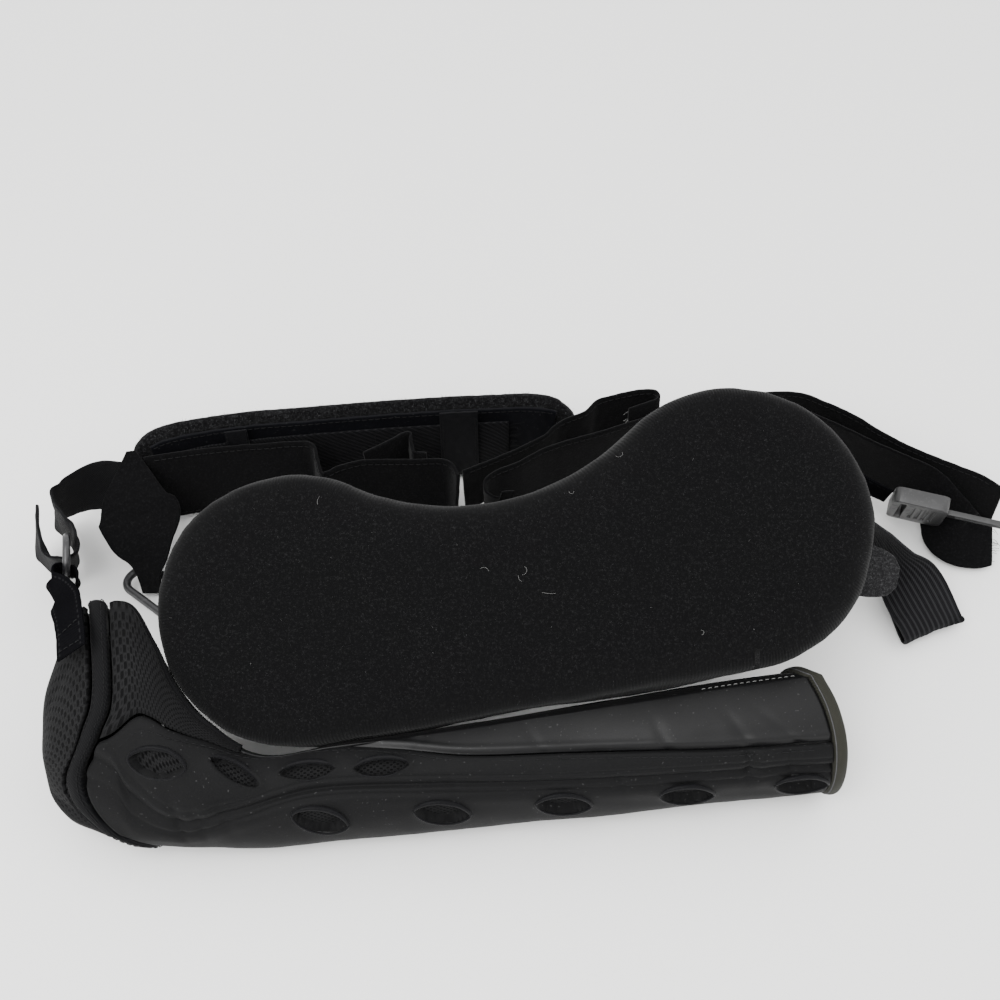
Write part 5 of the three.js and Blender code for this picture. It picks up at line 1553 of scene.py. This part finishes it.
# Straps


@dataclass(frozen=True)
class Strap:
    """A flat strap that runs through a table's rows."""

    name: str
    rows: Table
    width: float
    thickness: float
    steps: int = 150
    columns: int = 12
    lift: float = 0.0
    start: float = 0.0
    end: float = 1.0
    roundness: float = 8.0
    tapered: bool = False
    wave: float = 0.12
    wave_size: float = 24.0
    ribs: int = 0
    rib_depth: float = 0.35
    seed: int = 51
    stride: float = 0.01

    def at(self, share: Array, column: Array, out: Array | float = 0.0) -> Array:
        """Points on or off the strap.

        Args:
            share: How far along, from 0 to 1.
            column: How far across, from 0 to 1.
            out: Millimetres out from its middle layer.

        Returns:
            The points, in layout millimetres.
        """
        share, column, out = np.broadcast_arrays(*(np.asarray(v, float) for v in (share, column, out)))
        place = self.rows.last * (self.start + (self.end - self.start) * share)
        centre = self._centre(place)
        ahead = self._centre(np.minimum(place + self.stride, self.rows.last))
        along = unit(ahead - self._centre(np.maximum(place - self.stride, 0)))
        heading, pitch = (self.rows.at(name, place) * DEGREE for name in ("heading", "pitch"))
        across = np.stack([np.cos(pitch) * np.cos(heading), np.cos(pitch) * np.sin(heading), np.sin(pitch)], -1)
        across = unit(across - along * np.sum(across * along, -1, keepdims=True))
        normal = np.cross(along, across)
        wide = self.width * (self.rows.at("spread", place) if "spread" in self.rows.columns else 1.0)
        shift = self.wave * ripple(centre, self.wave_size, self.seed)
        return centre + across * (wide * (column - 0.5))[..., None] + normal * (out + self.lift + shift)[..., None]

    def _centre(self, place: Array) -> Array:
        """The strap's middle line."""
        return LAYOUT.place(np.stack([self.rows.at(name, place) for name in ("x", "y", "z")], -1))

    def length(self) -> float:
        """Its length in millimetres."""
        line = self.at(np.linspace(0, 1, 200), np.full(200, 0.5))
        return float(np.sum(np.linalg.norm(np.diff(line, axis=0), axis=-1)))

    def build(self) -> bpy.types.Object:
        """Make the strap with rounded edges."""
        turn = np.linspace(0, math.pi, self.columns + 1)
        plain = np.linspace(0, 1, self.columns + 1)
        spaced = 0.5 - 0.5 * np.cos(turn)
        column = spaced if not self.ribs else plain * 0.94 + spaced * 0.06
        s, c = np.meshgrid(np.linspace(0, 1, self.steps + 1), column, indexing="ij")
        round_off = np.maximum(1 - np.abs(2 * c - 1) ** self.roundness, 0)
        half = self.thickness / 2 * round_off ** (1 / self.roundness)
        if self.tapered:
            half *= np.maximum(1 - np.abs(2 * s - 1) ** 40, 0) ** 0.4
        half = np.maximum(half, 0.12)
        rib = self.rib_depth * np.cos(2 * math.pi * self.ribs * c) if self.ribs else 0.0
        face = self.at(s, c)
        grain = 0.1 * ripple(face, 7, self.seed + 1) * min(self.thickness, 1.6)
        run = s * self.length()
        uvs = np.stack([run, c * self.width], -1) * MM
        front = self.at(s, c, half + rib * 0.5 + grain)
        return shell(self.name, front, self.at(s, c, -half + rib * 0.2 + grain), uvs)

    def seam(self, column: float, first: float, last: float, out: float, radius: float = 0.22) -> list:
        """Stitches along the strap."""
        share = np.linspace(first, last, 160)
        line = self.at(share, np.full(160, column), out)
        return stitches(line, unit(self.at(share, np.full(160, column), out + 1) - line), 2.6, 1.1, radius)

    def crossing(self, share: float, out: float, radius: float = 0.22) -> list:
        """Stitches across the strap."""
        column = np.linspace(0.06, 0.94, 60)
        line = self.at(np.full(60, share), column, out)
        return stitches(line, unit(self.at(np.full(60, share), column, out + 1) - line), 2.4, 1.0, radius)

    def frays(self, count: int, length: float, seed: int, final: bool = True, radius: float = 0.13) -> list:
        """Threads that hang out of a cut end."""
        chance = np.random.default_rng(seed)
        end, inner = (1.0, 0.98) if final else (0.0, 0.02)
        parts = []
        for _ in range(count):
            column = chance.uniform(0.03, 0.97)
            root = self.at(end, column)
            ahead = unit(root - self.at(inner, column))
            side = unit(self.at(end, min(column + 0.02, 1)) - self.at(end, column - 0.02))
            sway, lean = chance.normal(0, 0.35, 2)
            size = length * chance.uniform(0.35, 1)
            t = np.linspace(-0.1, 1, 6)[:, None]
            line = root + ahead * t * size + side * (sway * t * t + 0.15 * np.sin(5 * t)) * size
            line[:, 2] += lean * 0.4 * (t[:, 0] ** 2) * size
            line[:, 2] = np.maximum(line[:, 2], 0.3)
            parts.append(tube(line, radius * chance.uniform(0.6, 1.2), 4))
        return parts


@dataclass(frozen=True)
class ShoulderPad:
    """The padded fleece with its facing and keepers."""

    width: float = 54.0
    thickness: float = 8.0
    facing_lift: float = 5.2
    keeper_lift: float = 10.8
    pile: int = 6000
    seed: int = 61

    def build(self, finishes: Finishes) -> None:
        """Make the pad, what is sewn on it and its fleece."""
        pad = Strap("shoulder_pad_fleece", PAD, self.width, self.thickness, 220, 30, roundness=2.6,
                    tapered=True, wave=0.2, seed=self.seed)
        piece = pad.build()
        dress(piece, "padding", finishes.fleece, "shoulder_pad")
        facing = Strap("shoulder_pad_facing", PAD, 44, 1.6, 200, 20, lift=self.facing_lift, start=0.14,
                       end=0.86, wave=0.2, seed=self.seed)
        dress(facing.build(), "facing", finishes.facing, "shoulder_pad_facing")
        small = Strap("pad_keeper_left", PAD, 50, 1.2, 20, 24, lift=self.keeper_lift, start=0.34, end=0.385,
                      seed=self.seed)
        wide = Strap("pad_keeper_middle", PAD, 52, 1.4, 30, 30, lift=self.keeper_lift, start=0.635,
                     end=0.672, seed=self.seed)
        dress(small.build(), "webbing", finishes.keeper, "pad_keeper_left")
        dress(wide.build(), "webbing", finishes.keeper, "pad_keeper_middle")
        sewn = facing.seam(0.05, 0.01, 0.99, 0.95) + facing.seam(0.95, 0.01, 0.99, 0.95)
        for share in (0.08, 0.92):
            sewn += wide.crossing(share, 0.8) + small.crossing(share, 0.7)
        dress(join_parts("pad_stitches", sewn), "padding", finishes.thread)
        dress(fibres("pad_pile", piece, self.pile, (0.8, 2.2), 0.06, 0.6, 62), "padding", finishes.dull)


@dataclass(frozen=True)
class Straps:
    """The shoulder strap, the belt in its layers, the elastic and the small tabs."""

    belt: float = 2.0
    webbing: float = 1.6
    satin: float = 1.4

    def goods(self, finishes: Finishes) -> list[tuple[Strap, str, bpy.types.Material]]:
        """Every strap with its slot and finish."""
        return [
            (Strap("shoulder_strap", SHOULDER_STRAP, 37, self.webbing, 320, 14, seed=70),
             "webbing", finishes.webbing),
            (Strap("elbow_tab", ELBOW_TAB, 17, self.satin, 120, 12, seed=71), "webbing", finishes.satin),
            (Strap("belt_end", BELT_END, 46, self.belt, 120, 18, seed=72, wave=0.2), "loop", finishes.loop),
            (Strap("belt_middle", BELT_MIDDLE, 46, self.belt, 240, 18, seed=73, wave=0.2),
             "loop", finishes.loop),
            (Strap("belt_loop", BELT_LOOP, 30, self.belt, 150, 16, seed=74), "loop", finishes.loop),
            (Strap("belt_crossing", BELT_CROSSING, 40, self.belt, 180, 16, seed=75, wave=0.2),
             "loop", finishes.loop),
            (Strap("belt_long", BELT_LONG, 40, self.belt, 260, 16, seed=76, wave=0.2),
             "loop", finishes.loop),
            (Strap("belt_return", BELT_RETURN, 37, self.webbing, 180, 14, seed=77), "loop", finishes.loop),
            (Strap("elastic_strap", ELASTIC, 36, self.webbing, 200, 120, ribs=12, seed=78, wave=0.15), "webbing",
             finishes.elastic),
            (Strap("buckle_loop", BUCKLE_LOOP, 17, self.satin, 40, 10, seed=79, wave=0.0),
             "webbing", finishes.satin),
            (Strap("pillow_side_tab", SIDE_TAB, 26, 3.4, 50, 18, roundness=3.5, seed=80, wave=0.0), "loop",
             finishes.tab),
        ]

    def build(self, finishes: Finishes) -> None:
        """Make them with their sewing and their frayed ends."""
        made = {}
        for strap, slot, finish in self.goods(finishes):
            made[strap.name] = strap
            dress(strap.build(), slot, finish, strap.name)
        sewn = []
        for name, columns in (("belt_end", (0.07, 0.93)), ("belt_middle", (0.06, 0.94)),
                              ("belt_crossing", (0.06, 0.94)), ("belt_long", (0.06, 0.94))):
            strap = made[name]
            for column in columns:
                sewn += strap.seam(column, 0.02, 0.98, strap.thickness / 2 + 0.12)
        elastic = made["elastic_strap"]
        for share in (0.93, 0.955):
            sewn += elastic.crossing(share, 1.15, 0.26) + elastic.crossing(share, -1.1, 0.26)
        tab = made["elbow_tab"]
        for share in (0.05, 0.12, 0.9, 0.97):
            sewn += tab.crossing(share, 0.85, 0.2)
        strap = made["shoulder_strap"]
        sewn += strap.crossing(0.06, 0.95, 0.24) + strap.crossing(0.06, -0.95, 0.24)
        dress(join_parts("strap_stitches", sewn), "webbing", finishes.thread)
        loose = strap.frays(34, 9, 81, False) + made["belt_return"].frays(12, 5, 83)
        loose += elastic.frays(16, 4, 84) + made["belt_crossing"].frays(10, 4, 85)
        dress(join_parts("strap_frays", loose), "webbing", finishes.thread)
        dress(join_parts("belt_frays", made["belt_crossing"].frays(12, 5, 86)), "loop", finishes.pale)


# Hard pieces


class Part(Enum):
    """The parts of a mesh that can be chosen, with the mesh's and the editor's names for them."""

    CORNERS = ("verts", "VERT")
    EDGES = ("edges", "EDGE")
    FACES = ("faces", "FACE")


class Bench:
    """One mesh being shaped with Blender's own mesh tools."""

    def __init__(self, name: str) -> None:
        """Take the mesh that was just added."""
        self.piece = bpy.context.active_object
        self.piece.name = self.piece.data.name = name

    def choose(self, kind: Part, test: Callable[[Vector], bool],
               flat: Callable[[Vector], bool] | None = None) -> None:
        """Select by place.

        Args:
            kind: Corners, upright edges or faces.
            test: Takes a corner's or a middle's place in millimetres.
            flat: Takes a face's normal.
        """
        bpy.ops.object.mode_set(mode="EDIT")
        group, mode = kind.value
        bpy.ops.mesh.select_mode(type=mode)
        bpy.ops.mesh.select_all(action="DESELECT")
        shape = bmesh.from_edit_mesh(self.piece.data)
        for part in getattr(shape, group):
            if kind is Part.CORNERS:
                part.select = test(part.co / MM)
            elif kind is Part.EDGES:
                part.select = all(test(v.co / MM) for v in part.verts) and abs(
                    (part.verts[0].co - part.verts[1].co).normalized().z) > 0.99
            elif test(part.calc_center_median() / MM) and (flat is None or flat(part.normal)):
                part.select_set(True)
        bmesh.update_edit_mesh(self.piece.data)

    def move(self, x: float = 0.0, y: float = 0.0, z: float = 0.0) -> None:
        """Move what is selected, in millimetres."""
        bpy.ops.transform.translate(value=(x * MM, y * MM, z * MM))

    def cut(self, x: float | None = None, y: float | None = None) -> None:
        """Cut the whole mesh across x or along y."""
        bpy.ops.object.mode_set(mode="EDIT")
        bpy.ops.mesh.select_all(action="SELECT")
        place = (x * MM, 0, 0) if x is not None else (0, y * MM, 0)
        bpy.ops.mesh.bisect(plane_co=place, plane_no=(1, 0, 0) if x is not None else (0, 1, 0))

    def done(self, soften: float, place: Matrix) -> bpy.types.Object:
        """Soften the edges and put the mesh in its place."""
        bpy.ops.object.mode_set(mode="EDIT")
        bpy.ops.mesh.select_all(action="SELECT")
        bpy.ops.mesh.normals_make_consistent(inside=False)
        bpy.ops.object.mode_set(mode="OBJECT")
        if soften:
            bevel = self.piece.modifiers.new("soften", "BEVEL")
            bevel.width, bevel.segments, bevel.angle_limit = soften * MM, 3, 40 * DEGREE
            bpy.ops.object.modifier_apply(modifier=bevel.name)
        bpy.ops.object.shade_smooth_by_angle(angle=35 * DEGREE)
        self.piece.data.transform(place)
        return self.piece


@dataclass(frozen=True)
class WireLoop:
    """A loop of plastic wire, longer than wide."""

    name: str
    length: float
    width: float
    wire: float

    def build(self, place: Matrix) -> bpy.types.Object:
        """Pull a torus out to a long loop."""
        corner = self.width * 0.34
        bpy.ops.mesh.primitive_torus_add(major_segments=96, minor_segments=18, major_radius=corner * MM,
                                         minor_radius=self.wire / 2 * MM)
        bench = Bench(self.name)
        reach = ((self.length - self.wire) / 2 - corner, (self.width - self.wire) / 2 - corner)
        for axis, far in enumerate(reach):
            for sign in (1, -1):
                bench.choose(Part.CORNERS, lambda p, a=axis, s=sign: p[a] * s > 0.01)
                shift = [0.0, 0.0, 0.0]
                shift[axis] = far * sign
                bench.move(*shift)
        bpy.ops.mesh.select_all(action="SELECT")
        bpy.ops.mesh.subdivide(number_cuts=1)
        return bench.done(0, place)


@dataclass(frozen=True)
class Buckle:
    """The side-release buckle's shell and the bar by it."""

    length: float = 29.0
    height: float = 31.0
    thickness: float = 8.6
    corner: float = 4.0
    slot: tuple[float, float, float] = (3.4, 24.0, 4.0)
    ribs: int = 4
    rib_depth: float = 0.9
    heading: float = -17.0
    lean: float = 25.0
    at: tuple[float, float, float] = (227.7, 158.8, 28.0)
    bar: tuple[float, float, float] = (34.0, 5.0, 3.0)
    bar_slot: tuple[float, float] = (23.8, 1.4)
    bar_start: float = 15.0
    bar_corner: float = 1.2
    bar_soften: float = 0.3
    mouth_rim: float = 1.8
    mouth_depth: float = 3.2
    soften: float = 0.35

    def place(self, reach: float) -> Matrix:
        """Stand a flat part on its edge, that far along the heading."""
        turn = Matrix.Rotation(self.heading * DEGREE, 4, "Z")
        x = self.at[0] + reach * math.cos(self.heading * DEGREE)
        y = self.at[1] + reach * math.sin(self.heading * DEGREE)
        spot = LAYOUT.world(np.array([x, y, self.at[2]]))
        return Matrix.Translation(Vector(spot)) @ turn @ Matrix.Rotation((90 + self.lean) * DEGREE, 4, "X")

    def _plate(self, name: str, length: float, height: float, thickness: float, corner: float) -> Bench:
        """A plate with rounded corners."""
        bpy.ops.mesh.primitive_cube_add(size=1, scale=(length * MM, height * MM, thickness * MM))
        bench = Bench(name)
        bpy.ops.object.transform_apply(location=False, rotation=False, scale=True)
        bench.choose(Part.EDGES, lambda p: True)
        bpy.ops.mesh.bevel(offset=corner * MM, segments=6, affect="EDGES")
        return bench

    def _through(self, bench: Bench, x: tuple[float, float], y: tuple[float, float]) -> None:
        """Cut a slot through a plate."""
        for side in x:
            bench.cut(x=side)
        for side in y:
            bench.cut(y=side)
        bench.choose(Part.FACES, lambda p: x[0] < p.x < x[1] and y[0] < p.y < y[1],
                     lambda n: abs(n.z) > 0.9)
        bpy.ops.mesh.delete(type="ONLY_FACE")
        bpy.ops.mesh.select_mode(type="EDGE")
        bpy.ops.mesh.select_all(action="DESELECT")
        shape = bmesh.from_edit_mesh(bench.piece.data)
        for edge in shape.edges:
            if edge.is_boundary:
                edge.select_set(True)
        bmesh.update_edit_mesh(bench.piece.data)
        bpy.ops.mesh.bridge_edge_loops()

    def build(self, finishes: Finishes) -> None:
        """Make the shell and the bar."""
        bench = self._plate("buckle_shell", self.length, self.height, self.thickness, self.corner)
        wide, tall, inset = self.slot
        first = -self.length / 2 + inset
        self._through(bench, (first, first + wide), (-tall / 2, tall / 2))
        pitch = (self.length - inset - wide - self.corner) / (self.ribs + 1)
        reach = self.height * 0.3
        for side in (-reach, reach):
            bench.cut(y=side)
        for k in range(self.ribs):
            x = first + wide + pitch * (k + 1.2)
            for side in (x - pitch / 4, x + pitch / 4):
                bench.cut(x=side)
            for sign in (1, -1):
                bench.choose(Part.FACES, lambda p, x=x: abs(p.x - x) < pitch / 4 and abs(p.y) < reach,
                             lambda n, s=sign: n.z * s > 0.9)
                bpy.ops.mesh.extrude_region_move(
                    TRANSFORM_OT_translate={"value": (0, 0, -sign * self.rib_depth * MM)})
        bench.choose(Part.FACES, lambda p: p.x > self.length / 2 - 0.05 and abs(p.y) < reach,
                     lambda n: n.x > 0.9)
        bpy.ops.mesh.inset(thickness=self.mouth_rim * MM)
        bpy.ops.mesh.extrude_region_move(TRANSFORM_OT_translate={"value": (-self.mouth_depth * MM, 0, 0)})
        dress(bench.done(self.soften, self.place(0)), "plastic", finishes.worn, "buckle")
        length, height, thickness = self.bar
        bench = self._plate("buckle_bar", length, height, thickness, self.bar_corner)
        wide, high = self.bar_slot[0] / 2, self.bar_slot[1] / 2
        self._through(bench, (-wide, wide), (-high, high))
        place = self.place(self.bar_start + length / 2)
        dress(bench.done(self.bar_soften, place), "plastic", finishes.worn, "buckle_bar")


@dataclass(frozen=True)
class Rings:
    """The shoulder strap's slide ring and the belt's ring, by their middles and directions."""

    strap_ring: WireLoop = WireLoop("strap_slide_ring", 50, 25, 4)
    strap_middle: tuple[float, float, float] = (-228.5, 121.0, 26.5)
    strap_up: tuple[float, float, float] = (0.307, -0.37, 0.877)
    strap_normal: tuple[float, float, float] = (0.948, 0.206, -0.245)
    belt_ring: WireLoop = WireLoop("belt_wire_ring", 50, 22, 4.4)
    belt_middle: tuple[float, float, float] = (-180.5, 114.5, 8.0)
    belt_heading: float = -38.0

    def _to(self, middle: tuple[float, float, float]) -> Matrix:
        """A move to a place in the layout."""
        return Matrix.Translation(Vector(LAYOUT.world(np.array(middle))))

    def build(self, finishes: Finishes) -> None:
        """Make both rings."""
        up = Vector(self.strap_up).normalized()
        normal = Vector(self.strap_normal)
        normal = (normal - up * normal.dot(up)).normalized()
        turn = Matrix((up, normal.cross(up), normal)).transposed().to_4x4()
        piece = self.strap_ring.build(self._to(self.strap_middle) @ turn)
        dress(piece, "plastic", finishes.plastic, "strap_ring")
        turn = Matrix.Rotation(self.belt_heading * DEGREE, 4, "Z")
        piece = self.belt_ring.build(self._to(self.belt_middle) @ turn)
        dress(piece, "plastic", finishes.plastic, "belt_ring")


# Stage, light and camera


@dataclass(frozen=True)
class Studio:
    """The pale floor, the soft light and the camera, in metres."""

    floor: float = 8.0
    key_power: float = 34.0
    fill_power: float = 3.0
    world: float = 2.0
    lens: float = 46.44
    sensor: float = 36.0
    tilt: float = 40.0
    spot: tuple[float, float, float] = (-0.0124, -0.39015, 0.57008)

    def _sweep(self, finishes: Finishes) -> None:
        """A wide pale floor."""
        line = np.linspace(-self.floor / 2, self.floor / 2, 9)
        x, y = np.meshgrid(line, line)
        points = np.stack([x, y, np.zeros_like(x)], -1).reshape(-1, 3)
        sweep = make_object("sweep", points, grid_faces(9, 9), outward=False)
        sweep.data.materials.append(finishes.paper)

    def _light(self, name: str, spot: tuple[float, float, float], aim: tuple[float, float, float], size: float,
               power: float) -> None:
        """A soft square light."""
        lamp = bpy.data.lights.new(name, "AREA")
        lamp.shape, lamp.size, lamp.energy = "SQUARE", size, power
        made = bpy.data.objects.new(name, lamp)
        made.location = spot
        made.rotation_euler = (Vector(aim) - Vector(spot)).to_track_quat("-Z", "Y").to_euler()
        bpy.context.scene.collection.objects.link(made)

    def build(self, finishes: Finishes) -> None:
        """Make the stage, the lights, the sky and the camera."""
        self._sweep(finishes)
        self._light("key", (-0.55, -0.75, 1.5), (0, 0, 0.03), 1.1, self.key_power)
        self._light("fill", (0.9, 0.1, 1.2), (0, 0.05, 0.03), 1.0, self.fill_power)
        world = bpy.data.worlds.new("room")
        world.use_nodes = True
        sky = world.node_tree.nodes["Background"]
        sky.inputs[0].default_value = (1, 1, 1, 1)
        sky.inputs[1].default_value = self.world
        bpy.context.scene.world = world
        lens = bpy.data.cameras.new("camera")
        lens.lens, lens.sensor_width = self.lens, self.sensor
        camera = bpy.data.objects.new("camera", lens)
        camera.location = self.spot
        camera.rotation_euler = (self.tilt * DEGREE, 0, 0)
        bpy.context.scene.collection.objects.link(camera)
        bpy.context.scene.camera = camera


def main() -> None:
    """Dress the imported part."""
    logging.basicConfig(level=logging.INFO)
    finishes = Finishes()
    Studio().build(finishes)
    Sleeve().build(finishes)
    Pillow().build(finishes)
    ShoulderPad().build(finishes)
    Straps().build(finishes)
    Rings().build(finishes)
    Buckle().build(finishes)


if __name__ == "__main__":
    main()
